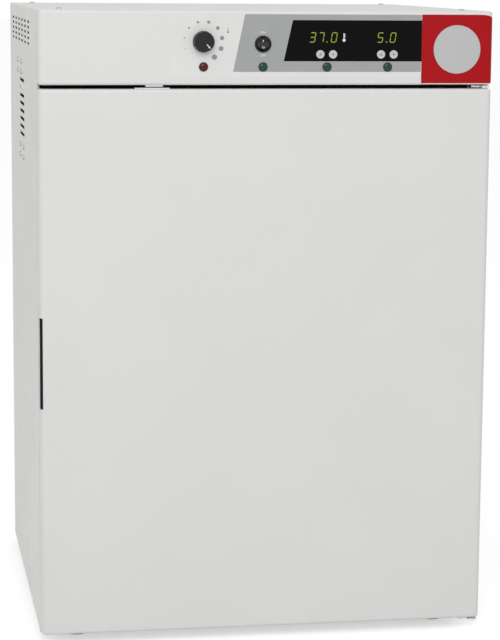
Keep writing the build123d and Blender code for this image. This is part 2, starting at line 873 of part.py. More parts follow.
with BuildSketch() as blade_profile:
    with BuildLine():
        inner_width = math.degrees(blade_thickness / blade_inner)
        outer_width = math.degrees(blade_thickness / blade_outer)
        RadiusArc(on_circle(blade_inner, 0), on_circle(blade_outer, -blade_sweep), -blade_outer)
        Line(on_circle(blade_outer, -blade_sweep), on_circle(blade_outer, outer_width - blade_sweep))
        RadiusArc(
            on_circle(blade_outer, outer_width - blade_sweep),
            on_circle(blade_inner, inner_width),
            blade_outer,
        )
        Line(on_circle(blade_inner, inner_width), on_circle(blade_inner, 0))
    make_face()

with BuildPart() as fan_impeller:
    blade_low = blower_top - disc_thickness - blade_height
    with BuildSketch(at_level(0, fan_depth, blade_low)):
        with PolarLocations(0, blade_count):
            add(blade_profile.sketch)
    extrude(amount=blade_height)
    round_bar(at_level(0, fan_depth, blower_top - disc_thickness), impeller_radius, disc_thickness)
    round_bar(at_level(0, fan_depth, blower_top - disc_thickness - hub_radius), hub_radius, hub_radius)
    with BuildSketch(at_level(0, fan_depth, blade_low - disc_thickness)):
        Circle(impeller_radius)
        Circle(impeller_eye, mode=Mode.SUBTRACT)
    extrude(amount=disc_thickness)
    hub_low = at_level(0, fan_depth, blower_top - disc_thickness - hub_radius)
    hub_bore = shaft_radius + shaft_clearance / 2
    round_bar(hub_low, hub_bore, hub_radius + disc_thickness, mode=Mode.SUBTRACT)
pieces["fan_impeller"] = fan_impeller

# Blower shaft
with BuildPart() as fan_shaft:
    shaft_low = blower_top - disc_thickness - hub_radius
    round_bar(at_level(0, fan_depth, shaft_low), shaft_radius, shaft_top - shaft_low - fit_gap)
    chamfer(fan_shaft.edges().filter_by(GeomType.CIRCLE), shaft_radius / 6)
pieces["fan_shaft"] = fan_shaft

# Sensors: the gas sensor's housing and probe, and two temperature probes with glands
with BuildPart() as chamber_sensors:
    with BuildSketch(at_level(sensor_x, sensor_depth, deck_top)):
        RectangleRounded(sensor_housing[0], sensor_housing[1], sensor_radius / 2)
    extrude(amount=sensor_housing[2])
    chamfer(chamber_sensors.faces().sort_by(Axis.Z)[-1].edges(), sensor_radius / 5)
    probe_end = ceiling - probe_drop
    round_bar(at_level(sensor_x, sensor_depth, probe_end), sensor_radius, deck_top - probe_end)
    for x in probe_xs:
        round_bar(at_level(x, sensor_depth, deck_top), gland_radius, gland_radius)
        round_bar(at_level(x, sensor_depth, probe_end), probe_radius, deck_top - probe_end)
pieces["chamber_sensors"] = chamber_sensors

# Gas inlet: a hexagon outside the back panel, a plain hose stub and a threaded end inside
with BuildPart() as gas_inlet_fitting:
    inlet_face = at_front((gas_x, fitting_height), body_depth)
    with BuildSketch(inlet_face):
        RegularPolygon(gas_hex_radius, 6)
    extrude(amount=-gas_hex_thickness)
    round_bar(inlet_face, gas_stub_radius, -rear_reach)
    round_bar(inlet_face, gas_thread_radius, gas_thread_length)
pieces["gas_inlet_fitting"] = gas_inlet_fitting

# Solenoid valve: a block with a round coil on a bracket foot
with BuildPart() as gas_solenoid_valve:
    valve_low = fitting_height - valve_height / 2
    with BuildSketch(at_level(gas_x, valve_depth, valve_low)):
        RectangleRounded(valve_width, valve_length, sheet)
    extrude(amount=valve_height)
    coil_base = fitting_height + valve_height / 2
    round_bar(at_level(gas_x, valve_depth, coil_base), valve_coil_radius, 2 * valve_coil_radius)
    with BuildSketch(at_level(gas_x, valve_depth, deck_top)):
        Rectangle(valve_width / 2, valve_foot_length)
    extrude(amount=sheet)
    with BuildSketch(at_level(gas_x, valve_depth, deck_top)):
        Rectangle(valve_width / 2, valve_length / 2)
    extrude(amount=valve_low - deck_top)
pieces["gas_solenoid_valve"] = gas_solenoid_valve

# Gas line: a short pipe to the valve, the disc filter, and the pipe down into the chamber
valve_half = valve_length / 2
with BuildPart() as gas_line:
    thread_end = body_depth - gas_thread_length
    gas_end = at_front((gas_x, fitting_height), thread_end)
    round_bar(gas_end, gas_stub_radius, thread_end - valve_depth - valve_half)
    filter_face = filter_depth + filter_thickness / 2
    gas_out = at_front((gas_x, fitting_height), valve_depth - valve_half)
    round_bar(gas_out, gas_stub_radius, valve_depth - valve_half - filter_face)
    round_bar(at_front((gas_x, fitting_height), filter_face), filter_radius, filter_thickness)
    chamfer(gas_line.edges().filter_by(GeomType.CIRCLE).group_by(SortBy.RADIUS)[-1], 3 * sheet)
    bend_start = filter_depth - filter_thickness / 2
    with BuildLine() as gas_route:
        FilletPolyline(
            (gas_x, back(bend_start + sheet), up(fitting_height)),
            (gas_x, back(gas_drop_depth), up(fitting_height)),
            (gas_x, back(gas_drop_depth), up(ceiling - 2 * gas_stub_radius)),
            radius=gas_bend_radius,
        )
    with BuildSketch(at_front((gas_x, fitting_height), bend_start + sheet)):
        Circle(gas_stub_radius)
    sweep()
pieces["gas_line"] = gas_line

# Access port through the back wall, and its stopper
port_mouth = body_depth + port_flange_thickness
with BuildPart() as access_port:
    port_start = at_front((port_x, port_height), liner_back)
    round_bar(port_start, port_radius + port_wall, -(body_depth - liner_back))
    round_bar(at_front((port_x, port_height), body_depth), port_flange_radius, -port_flange_thickness)
    round_bar(port_start, port_radius, -(port_mouth - liner_back), mode=Mode.SUBTRACT)
pieces["access_port"] = access_port

with BuildPart() as port_stopper:
    head_plane = at_front((port_x, port_height), port_mouth + stopper_gap)
    round_bar(head_plane, stopper_head_radius, -stopper_head)
    chamfer(port_stopper.faces().sort_by(Axis.Y)[-1].edges(), stopper_bevel)
    round_bar(head_plane, port_radius - stopper_gap, stopper_depth)
    chamfer(port_stopper.faces().sort_by(Axis.Y)[0].edges(), stopper_bevel)
pieces["port_stopper"] = port_stopper

# Mains inlet: a flanged socket with three flat pins
inlet_place = (inlet_x, body_height - inlet_drop)
with BuildPart() as power_inlet:
    with BuildSketch(at_front(inlet_place, body_depth)):
        SlotOverall(*inlet_flange)
    extrude(amount=-inlet_flange_thickness)
    with BuildSketch(at_front(inlet_place, body_depth)):
        Rectangle(*inlet_body)
    extrude(amount=inlet_depth)
    with BuildSketch(at_front(inlet_place, body_depth + inlet_flange_thickness)):
        RectangleRounded(*inlet_cavity, inlet_cavity_corner)
    extrude(amount=inlet_socket_depth + inlet_flange_thickness, mode=Mode.SUBTRACT)
    with BuildSketch(at_front(inlet_place, body_depth - inlet_socket_depth)):
        for step, stagger in ((-1, -inlet_pin_stagger), (0, inlet_pin_stagger), (1, -inlet_pin_stagger)):
            with Locations((step * inlet_pin_spacing, stagger)):
                Rectangle(*inlet_pin)
    extrude(amount=-inlet_socket_depth)
pieces["power_inlet"] = power_inlet

# Mains transformer: a laminated core with two windows and a winding on its middle leg
with BuildPart() as power_supply:
    core_middle = deck_top + supply_height / 2
    window_height = supply_height - 2 * core_leg
    with BuildSketch(at_front((supply_place[0], core_middle), supply_place[1])):
        Rectangle(supply_width, supply_height)
        with GridLocations(supply_width / 2, 0, 2, 1):
            Rectangle(core_leg, window_height, mode=Mode.SUBTRACT)
    extrude(amount=-supply_stack)
    winding_low = core_middle - window_height / 2 + fit_gap
    with BuildSketch(at_level(supply_place[0], supply_place[1] + supply_stack / 2, winding_low)):
        RectangleRounded(4 * core_leg - fit_gap, supply_stack + 2 * core_leg, core_leg / 2)
    extrude(amount=window_height - 2 * fit_gap)
pieces["power_supply"] = power_supply

# Control panel: the upper pan, pierced for its fittings, with two ears back to the deck
ear_x = half_width - ear_inset
ear_low = frame_top + 2 * soft_gap
ear_height = body_height - ear_drop
with BuildPart() as control_fascia:
    folded_pan(control_fascia, panel_low, body_height)
    with BuildSketch(upright(0)):
        with BuildSketch(mode=Mode.PRIVATE) as window_hole:
            Polygon(*[(x, up(z)) for x, z in window_outline], align=None)
            offset(amount=fit_gap)
        add(window_hole.sketch)
        with Locations((knob_centre[0], up(knob_centre[1]))):
            Circle(thermostat_bush_radius + fit_gap)
        with Locations((switch_centre[0], up(switch_centre[1]))):
            Circle(switch_body_radius + fit_gap)
        with Locations(*[(x, up(z)) for x, z in lamp_centres]):
            Circle(lamp_stem_radius + fit_gap)
    extrude(amount=-sheet, mode=Mode.SUBTRACT)
    for side in (-1, 1):
        with BuildSketch(Plane.YZ.offset(side * ear_x)):
            Polygon(
                (back(sheet), up(ear_low)),
                (back(sheet), up(ear_height)),
                (back(ear_reach), up(ear_height)),
                (back(ear_reach), up(deck_top)),
                (back(ear_reach - side_flange), up(deck_top)),
                (back(ear_reach - side_flange), up(ear_low)),
                align=None,
            )
        extrude(amount=-side * sheet)
pieces["control_fascia"] = control_fascia

# Printed overlay on the control panel
with BuildPart() as panel_overlay:
    with BuildSketch(upright(0)):
        low, high = (on_panel(place) for place in overlay_corners)
        spanning((low[0], up(low[1])), (high[0], up(high[1])))
        add(window_hole.sketch, mode=Mode.SUBTRACT)
        with Locations((knob_centre[0], up(knob_centre[1]))):
            Circle(2 * thermostat_bush_radius + fit_gap, mode=Mode.SUBTRACT)
        with Locations((switch_centre[0], up(switch_centre[1]))):
            Circle(switch_body_radius + fit_gap, mode=Mode.SUBTRACT)
        with Locations(*[(x, up(z)) for x, z in lamp_centres]):
            Circle(lamp_stem_radius + fit_gap, mode=Mode.SUBTRACT)
    extrude(amount=overlay_thickness)
pieces["panel_overlay"] = panel_overlay

# Bare round disc on the panel
with BuildPart() as badge_disc:
    round_bar(at_front(badge_centre, 0), badge_radius, badge_thickness)
    chamfer(badge_disc.faces().sort_by(Axis.Y)[0].edges(), badge_bevel)
pieces["badge_disc"] = badge_disc

# Display window, with a flange behind the panel and four round button holes
with BuildPart() as display_window:
    with BuildSketch(upright(-overlay_thickness)):
        Polygon(*[(x, up(z)) for x, z in window_outline], align=None)
    extrude(amount=-(overlay_thickness + sheet))
    with BuildSketch(upright(sheet)):
        with BuildSketch(mode=Mode.PRIVATE) as window_back:
            Polygon(*[(x, up(z)) for x, z in window_outline], align=None)
            offset(amount=window_flange)
        add(window_back.sketch)
    extrude(amount=-window_flange_thickness)
    for place in button_centres.values():
        plane = at_front(place, -overlay_thickness)
        depth = overlay_thickness + sheet + window_flange_thickness
        round_bar(plane, button_radius + soft_gap, -depth, mode=Mode.SUBTRACT)
pieces["display_window"] = display_window

# Control board on spacers, with two digit displays and four key switches
with BuildPart() as control_board:
    low, high = (on_panel(place) for place in board_corners)
    window_rear = sheet + window_flange_thickness
    with BuildSketch(upright(board_depth)):
        spanning((low[0], up(low[1])), (high[0], up(high[1])))
        with Locations(*[(x, up(z)) for x, z in lamp_centres[1:]]):
            Circle(lamp_stem_radius + hole_clearance, mode=Mode.SUBTRACT)
    extrude(amount=-board_thickness)
    with BuildSketch(upright(window_rear + fit_gap)):
        for x, z in display_centres:
            with Locations((x, up(z))):
                Rectangle(display_width, display_height)
    extrude(amount=-(board_depth - window_rear - fit_gap))
    with BuildSketch(upright(key_switch_depth)):
        for x, z in button_centres.values():
            with Locations((x, up(z))):
                Rectangle(key_switch_size, key_switch_size)
    extrude(amount=-(board_depth - key_switch_depth))
    with BuildSketch(upright(sheet)):
        for x in (low[0] + spacer_inset, high[0] - spacer_inset):
            for z in (low[1] + spacer_inset, high[1] - spacer_inset):
                with Locations((x, up(z))):
                    Circle(spacer_radius)
    extrude(amount=-(board_depth - sheet))
pieces["control_board"] = control_board

# Push buttons: a cap in front of the window, a shoulder behind it and a plunger to its switch
for name, place in button_centres.items():
    with BuildPart() as button:
        cap_front = -overlay_thickness - button_proud
        stem_end = key_switch_depth - button_travel - fit_gap
        round_bar(at_front(place, cap_front), button_radius, -(stem_end - cap_front))
        chamfer(button.faces().sort_by(Axis.Y)[0].edges(), button_bevel)
        shoulder = window_rear + button_travel + soft_gap
        round_bar(at_front(place, shoulder), button_radius + button_shoulder, -(stem_end - shoulder))
    pieces[f"button_{name}"] = button

# Indicator lamps: a domed lens, its stem and its fixing ring
with BuildPart() as indicator_lamps:
    for place in lamp_centres:
        round_bar(at_front(place, -overlay_thickness - lamp_proud), lamp_radius, -lamp_proud)
    chamfer(indicator_lamps.faces().filter_by(Axis.Y).group_by(Axis.Y)[0].edges(), lamp_proud / 2)
    for place in lamp_centres:
        round_bar(at_front(place, -overlay_thickness), lamp_stem_radius, -lamp_stem_depth)
pieces["indicator_lamps"] = indicator_lamps

# Power switch: a round body with a bezel, around a well for the rocker
with BuildPart() as power_switch_body:
    bezel_front = at_front(switch_centre, -overlay_thickness - switch_bezel_proud)
    round_bar(bezel_front, switch_bezel_radius, -switch_bezel_proud)
    chamfer(power_switch_body.faces().sort_by(Axis.Y)[0].edges(), switch_bezel_proud / 3)
    round_bar(
        at_front(switch_centre, -overlay_thickness), switch_body_radius, -switch_body_depth
    )
    well_depth = switch_bezel_proud + overlay_thickness + rocker_pivot_depth + rocker_well + 2 * soft_gap
    round_bar(bezel_front, rocker_well, -well_depth, mode=Mode.SUBTRACT)
pieces["power_switch_body"] = power_switch_body

# Rocker: a dished face on a round shank, tilted with its upper half pressed in
rocker_pivot = (switch_centre[0], back(rocker_pivot_depth), up(switch_centre[1]))
tilt = math.radians(rocker_tilt)
rocker_plane = Plane(
    origin=rocker_pivot, x_dir=(1, 0, 0), z_dir=(0, -math.cos(tilt), math.sin(tilt))
)
with BuildPart() as power_rocker:
    with BuildSketch(rocker_plane.offset(-rocker_reach)):
        Circle(rocker_radius)
    extrude(amount=2 * rocker_reach)
    side_plane = Plane(
        origin=rocker_pivot, x_dir=(0, -math.cos(tilt), math.sin(tilt)), z_dir=(1, 0, 0)
    )
    face_half = math.sqrt(rocker_reach**2 - rocker_face**2)
    with BuildSketch(side_plane.offset(-rocker_radius)) as rocker_section:
        with BuildLine():
            ThreePointArc((rocker_face, -face_half), (rocker_dish, 0), (rocker_face, face_half))
            ThreePointArc((rocker_face, face_half), (-rocker_reach, 0), (rocker_face, -face_half))
        make_face()
    extrude(amount=2 * rocker_radius, mode=Mode.INTERSECT)
pieces["power_rocker"] = power_rocker

# Safety thermostat behind the panel, with a threaded bush and its nut
with BuildPart() as safety_thermostat:
    bush_front = at_front(knob_centre, -overlay_thickness - 2 * sheet)
    round_bar(bush_front, thermostat_bush_radius, -(overlay_thickness + 3 * sheet))
    with BuildSketch(at_front(knob_centre, -2 * sheet)):
        RegularPolygon(2 * thermostat_bush_radius - fit_gap, 6)
    extrude(amount=-2 * sheet)
    with BuildSketch(at_front(knob_centre, sheet)):
        RectangleRounded(thermostat_width, thermostat_height, 2 * sheet)
    extrude(amount=-2 * knob_radius)
    round_bar(bush_front, knob_shaft_radius + shaft_clearance, -knob_radius, mode=Mode.SUBTRACT)
pieces["safety_thermostat"] = safety_thermostat

# Thermostat knob: a fluted cap with a skirt and a shaft
with BuildPart() as thermostat_knob:
    skirt_back = -overlay_thickness - knob_gap
    knob_depth = knob_proud + skirt_back
    crown_radius = knob_radius - knob_depth * math.tan(math.radians(knob_draft))
    knob_middle = (knob_centre[0], 0, up(knob_centre[1]))
    with BuildSketch(Plane(knob_middle)):
        Polygon(
            (0, back(skirt_back)),
            (knob_radius, back(skirt_back)),
            (crown_radius, back(knob_bevel - knob_proud)),
            (crown_radius - knob_bevel, back(-knob_proud)),
            (0, back(-knob_proud)),
            align=None,
        )
    revolve(axis=Axis(knob_middle, (0, 1, 0)))
    with BuildSketch(at_front(knob_centre, skirt_back - knob_depth / 4)):
        with PolarLocations(knob_radius, flute_count):
            Circle(flute_radius)
    extrude(amount=knob_depth, mode=Mode.SUBTRACT)
    nut_recess = 2 * thermostat_bush_radius + sheet
    round_bar(at_front(knob_centre, skirt_back), nut_recess, 4 * sheet, mode=Mode.SUBTRACT)
    shaft_length = 2 * thermostat_bush_radius
    round_bar(at_front(knob_centre, -knob_proud + 2 * sheet), knob_shaft_radius, -shaft_length)
pieces["thermostat_knob"] = thermostat_knob

# Door: the outer pan, with the cut for its pull and the holes for its hinge bushes
pull_cut = half_width - pull_width
with BuildPart() as door_skin:
    folded_pan(door_skin, door_lift, door_high)
    with BuildSketch(Plane.YZ.offset(-half_width)):
        spanning((back(0), up(pull_low)), (back(pull_rear), up(pull_high)))
    extrude(amount=pull_width, mode=Mode.SUBTRACT)
    for face, way in ((door_lift, 1), (door_high, -1)):
        plane = at_level(hinge_x, hinge_behind, face)
        round_bar(plane, bush_radius + fit_gap, way * pan_top_edge, mode=Mode.SUBTRACT)
pieces["door_skin"] = door_skin

# Moulded pull cup in the door's left edge
with BuildPart() as door_pull_cup:
    cup_front = 2 * sheet
    cup_rear = pull_rear + pull_wall
    cup_left = -(half_width - sheet - fit_gap)
    cup_right = -(pull_cut - pull_reach - pull_wall)
    with BuildSketch(level(pull_low - pull_wall)):
        Polygon(
            (cup_left, back(pan_side_edge + fit_gap)),
            (cup_left, back(cup_rear)),
            (cup_right, back(cup_rear)),
            (cup_right, back(cup_front)),
            (-pull_cut, back(cup_front)),
            align=None,
        )
    extrude(amount=pull_high - pull_low + 2 * pull_wall)
    with BuildSketch(Plane.YZ.offset(-half_width)):
        spanning((back(cup_front + pull_wall), up(pull_low)), (back(pull_rear), up(pull_high)))
        fillet(vertices(), pull_wall)
    extrude(amount=pull_width + pull_reach, mode=Mode.SUBTRACT)
pieces["door_pull_cup"] = door_pull_cup

# Door lining: a flange inside the pan and a raised plug with rounded edges
lining_depth = pan_depth - sheet
with BuildPart() as door_inner_panel:
    with BuildSketch(upright(lining_depth)):
        section(plug_margin, 2 * step_corner)
    extrude(amount=-(plug_back - lining_depth))
    fillet(door_inner_panel.faces().sort_by(Axis.Y)[-1].edges(), min(plug_edge, plug_edge_share * plug_depth))
    offset(amount=-liner_sheet, openings=door_inner_panel.faces().sort_by(Axis.Y)[0])
    with BuildSketch(upright(lining_depth)):
        with Locations((0, up(door_mid))):
            RectangleRounded(
                body_width - 2 * (sheet + fit_gap),
                door_high - door_lift - 2 * (sheet + fit_gap),
                pan_top_edge - sheet,
            )
        with BuildSketch(mode=Mode.PRIVATE) as plug_hole:
            section(plug_margin - liner_sheet, 2 * step_corner - liner_sheet)
        add(plug_hole.sketch, mode=Mode.SUBTRACT)
    extrude(amount=-sheet)
pieces["door_inner_panel"] = door_inner_panel

# Foam that fills the door
foam_depth = sheet + fit_gap
foam_inset = pan_side_edge + sheet
hinge_pocket = 2 * (bush_radius + sheet)
with BuildPart() as door_insulation:
    with BuildSketch(upright(foam_depth)):
        with Locations((0, up(door_mid))):
            Rectangle(body_width - 2 * foam_inset, door_high - door_lift - 2 * foam_inset)
    extrude(amount=-(lining_depth - foam_depth - fit_gap))
    with BuildSketch(upright(foam_depth)):
        section(plug_margin - plug_edge, 2 * step_corner)
    extrude(amount=-(plug_back - liner_sheet - fit_gap - foam_depth))
    with BuildSketch(upright(foam_depth)):
        spanning(
            (-half_width, up(pull_low - pull_wall - fit_gap)),
            (cup_right + fit_gap, up(pull_high + pull_wall + fit_gap)),
        )
        with Locations((hinge_x, up(door_lift)), (hinge_x, up(door_high))):
            Rectangle(hinge_pocket, 3 * hinge_pin_length)
    extrude(amount=-pan_depth, mode=Mode.SUBTRACT)
pieces["door_insulation"] = door_insulation

# Door gasket: a base strip with a softer bulb that meets the frame
gasket_thickness = frame_depth - pan_depth - soft_gap
gasket_base = gasket_thickness * 0.4
bulb_inset = (gasket_outer_margin - gasket_inner_margin) / 5
with BuildPart() as door_gasket:
    ring(
        pan_depth + gasket_base, gasket_thickness - gasket_base,
        gasket_inner_margin + bulb_inset, gasket_outer_margin - bulb_inset, step_corner, step_corner,
    )
    chamfer(door_gasket.faces().sort_by(Axis.Y)[-1].edges(), bulb_inset / 2)
    ring(
        pan_depth, gasket_base,
        gasket_inner_margin, gasket_outer_margin, step_corner, step_corner,
    )
pieces["door_gasket"] = door_gasket

# Hinge brackets: the upper one hangs from the frame behind the panel, the lower one lies under the base
bracket_low = door_high + (panel_gap - hinge_plate) / 2
plate_left = half_width - hinge_plate_width
plate_right = half_width - fit_gap - sheet
with BuildPart() as door_hinge_brackets:
    for low, rear in ((bracket_low, case_depth), (-hinge_plate, hinge_foot_length)):
        with BuildSketch(level(low)):
            with Locations((hinge_x, back(hinge_behind))):
                Circle(plate_right - hinge_x)
            spanning((plate_left, back(hinge_behind)), (plate_right, back(rear)))
        extrude(amount=hinge_plate)
    with BuildSketch(upright(case_depth - hinge_plate)):
        spanning((plate_left, up(bracket_low)), (plate_right, up(bracket_low + hinge_leaf_height)))
    extrude(amount=-hinge_plate)
    round_bar(at_level(hinge_x, hinge_behind, bracket_low), hinge_pin_radius, -(hinge_pin_length))
    round_bar(at_level(hinge_x, hinge_behind, 0), hinge_pin_radius, hinge_pin_length)
pieces["door_hinge_brackets"] = door_hinge_brackets

# Bushes in the door that turn on the hinge pins; the lower one stands proud as a washer
with BuildPart() as door_hinge_bushes:
    for face, length in ((soft_gap, hinge_pin_length), (door_high, -hinge_pin_length)):
        plane = at_level(hinge_x, hinge_behind, face)
        round_bar(plane, bush_radius, length)
        round_bar(plane, hinge_pin_radius + shaft_clearance, length, mode=Mode.SUBTRACT)
pieces["door_hinge_bushes"] = door_hinge_bushes

# Magnetic catch under the control panel, and its strike on the door
with BuildPart() as door_catch:
    with BuildSketch(level(panel_low - catch_height)):
        spanning(
            (catch_span[0] - half_width, back(catch_front)),
            (catch_span[1] - half_width, back(catch_back)),
        )
    extrude(amount=catch_height)
    chamfer(door_catch.faces().sort_by(Axis.Z)[0].edges(), catch_height / 5)
pieces["door_catch"] = door_catch

with BuildPart() as door_strike:
    with BuildSketch(level(door_high)):
        spanning(
            (strike_span[0] - half_width, back(catch_front)),
            (strike_span[1] - half_width, back(catch_back)),
        )
    extrude(amount=strike_height)
    chamfer(door_strike.faces().sort_by(Axis.Z)[-1].edges(), strike_height / 4)
pieces["door_strike"] = door_strike

# Glass door: the pane, pierced for its hinge bolts and latch
latch_stem = bolt_radius
leaf_left = glass_pin_x - leaf_reach
bolt_x = leaf_left + 2 * bolt_radius
bolt_places = [
    (bolt_x, height + way * bolt_spacing / 2) for height in glass_hinge_heights for way in (-1, 1)
]
with BuildPart() as glass_pane:
    with BuildSketch(upright(glass_depth)):
        section(glass_margin, glass_corner)
        with Locations(*[(x, up(z)) for x, z in bolt_places]):
            Circle(bolt_radius + fit_gap, mode=Mode.SUBTRACT)
        with Locations((latch_x, up(latch_height))):
            Circle(latch_stem + fit_gap, mode=Mode.SUBTRACT)
    extrude(amount=-glass_thickness)
pieces["glass_pane"] = glass_pane

# Hinge leaves bolted to the glass, each with a knuckle around its pin
nut_radius = bolt_radius * 1.7
with BuildPart() as glass_hinge_leaves:
    for height in glass_hinge_heights:
        knuckle_low = height - knuckle_height / 2
        round_bar(at_level(glass_pin_x, glass_pin_depth, knuckle_low), knuckle_radius, knuckle_height)
        with BuildSketch(upright(glass_depth - leaf_thickness)):
            spanning(
                (leaf_left, up(knuckle_low)), (glass_pin_x, up(knuckle_low + knuckle_height))
            )
        extrude(amount=-leaf_thickness)
        bore = glass_pin_radius + shaft_clearance
        plane = at_level(glass_pin_x, glass_pin_depth, knuckle_low)
        round_bar(plane, bore, knuckle_height, mode=Mode.SUBTRACT)
    for place in bolt_places:
        head = at_front(place, glass_depth - leaf_thickness - bolt_radius)
        round_bar(head, nut_radius, -bolt_radius)
        round_bar(head, bolt_radius, -(bolt_radius + leaf_thickness + glass_thickness + leaf_thickness))
        round_bar(at_front(place, glass_back), nut_radius, -leaf_thickness)
pieces["glass_hinge_leaves"] = glass_hinge_leaves

# Latch: a knob and an arm that hangs down when it is released
with BuildPart() as glass_latch:
    latch_place = (latch_x, latch_height)
    arm_back = arm_depth + latch_arm_thickness
    knob_front = plug_back + 3 * latch_arm_thickness / 2
    round_bar(at_front(latch_place, knob_front), latch_knob_radius, -(arm_depth - knob_front))
    chamfer(glass_latch.faces().sort_by(Axis.Y)[0].edges(), latch_arm_thickness / 3)
    with BuildSketch(upright(arm_depth)):
        with Locations((latch_x, up(latch_height))):
            Circle(2 * bolt_radius)
        with Locations((latch_x, up(latch_height - latch_arm_length / 2))):
            Rectangle(3 * bolt_radius, latch_arm_length)
    extrude(amount=-latch_arm_thickness)
    round_bar(at_front(latch_place, arm_back), 2 * bolt_radius, -(glass_depth - arm_back - soft_gap))
    round_bar(at_front(latch_place, arm_back), latch_stem, -(glass_back - arm_back + leaf_thickness))
    round_bar(at_front(latch_place, glass_back + soft_gap), nut_radius, -leaf_thickness)
pieces["glass_latch"] = glass_latch

# Levelling feet: a rubber-faced pad, a hexagon and a threaded stem
for (x, depth), name in zip(
    foot_places, ("foot_front_left", "foot_back_left", "foot_front_right", "foot_back_right")
):
    with BuildPart() as foot:
        with BuildSketch(at_level(x, depth, -foot_height)):
            Circle(foot_radius)
        extrude(amount=foot_pad_height, taper=foot_pad_height * 2)
        with BuildSketch(at_level(x, depth, foot_pad_height - foot_height)):
            RegularPolygon(foot_nut_radius, 6)
        extrude(amount=foot_height - foot_pad_height - soft_gap)
        stem_low = at_level(x, depth, foot_pad_height - foot_height)
        round_bar(stem_low, foot_stem_radius, foot_stem_length - foot_pad_height)
    pieces[name] = foot

# Case screws: pan heads on the cover and both sides
with BuildPart() as case_screws:
    for x in (top_screw_inset - half_width, half_width - top_screw_inset):
        for depth in (top_screw_front, body_depth - top_screw_back):
            with BuildSketch(at_level(x, depth, body_height)):
                Circle(screw_radius)
            extrude(amount=screw_head, taper=screw_draft)
    for side in (-1, 1):
        for behind, drop in screw_rows:
            for way in (-1, 1):
                spot = (
                    side * half_width,
                    back(case_middle + behind + way * screw_pair_spacing / 2),
                    up(body_height - drop),
                )
                with BuildSketch(Plane(origin=spot, z_dir=(side, 0, 0))):
                    Circle(screw_radius)
                extrude(amount=screw_head, taper=screw_draft)
pieces["case_screws"] = case_screws

# Write one file for each piece
for name, piece in pieces.items():
    piece.part.label = name
    export_step(piece.part, f"parts/{name}.step")
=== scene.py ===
"""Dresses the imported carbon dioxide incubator: paints, prints, seals, screws, lenses and light.

Places on the cabinet are given as (across, depth, height) in millimetres: across from the middle,
depth behind the door's front face, height above the cabinet's underside.
"""
from __future__ import annotations

import json
import logging
import math
from abc import ABC, abstractmethod
from dataclasses import dataclass, field
from enum import Enum
from functools import cache
from typing import Iterable, Sequence

import bmesh
import bpy
from mathutils import Matrix, Vector
from mathutils.bvhtree import BVHTree


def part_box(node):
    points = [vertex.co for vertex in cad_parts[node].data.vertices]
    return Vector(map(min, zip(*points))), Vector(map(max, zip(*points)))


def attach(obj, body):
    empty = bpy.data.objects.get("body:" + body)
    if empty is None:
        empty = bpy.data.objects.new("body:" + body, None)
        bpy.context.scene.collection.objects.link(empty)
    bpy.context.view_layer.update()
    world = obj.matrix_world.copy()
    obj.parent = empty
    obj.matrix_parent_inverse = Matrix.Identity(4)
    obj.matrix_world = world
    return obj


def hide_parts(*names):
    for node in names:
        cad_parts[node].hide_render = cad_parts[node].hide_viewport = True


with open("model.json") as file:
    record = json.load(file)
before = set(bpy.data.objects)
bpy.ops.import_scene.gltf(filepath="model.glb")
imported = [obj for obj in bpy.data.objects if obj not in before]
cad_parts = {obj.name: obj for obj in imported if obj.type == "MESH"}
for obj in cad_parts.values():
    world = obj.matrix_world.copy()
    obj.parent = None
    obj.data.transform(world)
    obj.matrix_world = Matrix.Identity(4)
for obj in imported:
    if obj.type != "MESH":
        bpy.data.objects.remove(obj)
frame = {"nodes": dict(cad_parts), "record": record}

log = logging.getLogger("incubator")
MM = 0.001
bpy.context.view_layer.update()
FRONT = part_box("control_fascia")[0].y
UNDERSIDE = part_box("base_pan")[0].z

Colour = tuple[float, float, float]
Pair = tuple[float, float]
Loop = Sequence[Pair]


class Body(Enum):
    """The moving bodies that the pieces made here ride on."""

    CABINET = "cabinet"
    DOOR = "door"
    KNOB = "thermostat_knob"
    ROCKER = "power_rocker"
    BUTTON_TEMP_UP = "button_temp_up"
    BUTTON_TEMP_DOWN = "button_temp_down"
    BUTTON_CO2_UP = "button_co2_up"
    BUTTON_CO2_DOWN = "button_co2_down"


def spot(across: float, depth: float, height: float) -> Vector:
    """Turn a place on the cabinet into a point in the frame.

    Args:
        across: millimetres to the right of the middle.
        depth: millimetres behind the door's front face.
        height: millimetres above the cabinet's underside.

    Returns:
        The point in metres.
    """
    return Vector((across * MM, FRONT + depth * MM, UNDERSIDE + height * MM))


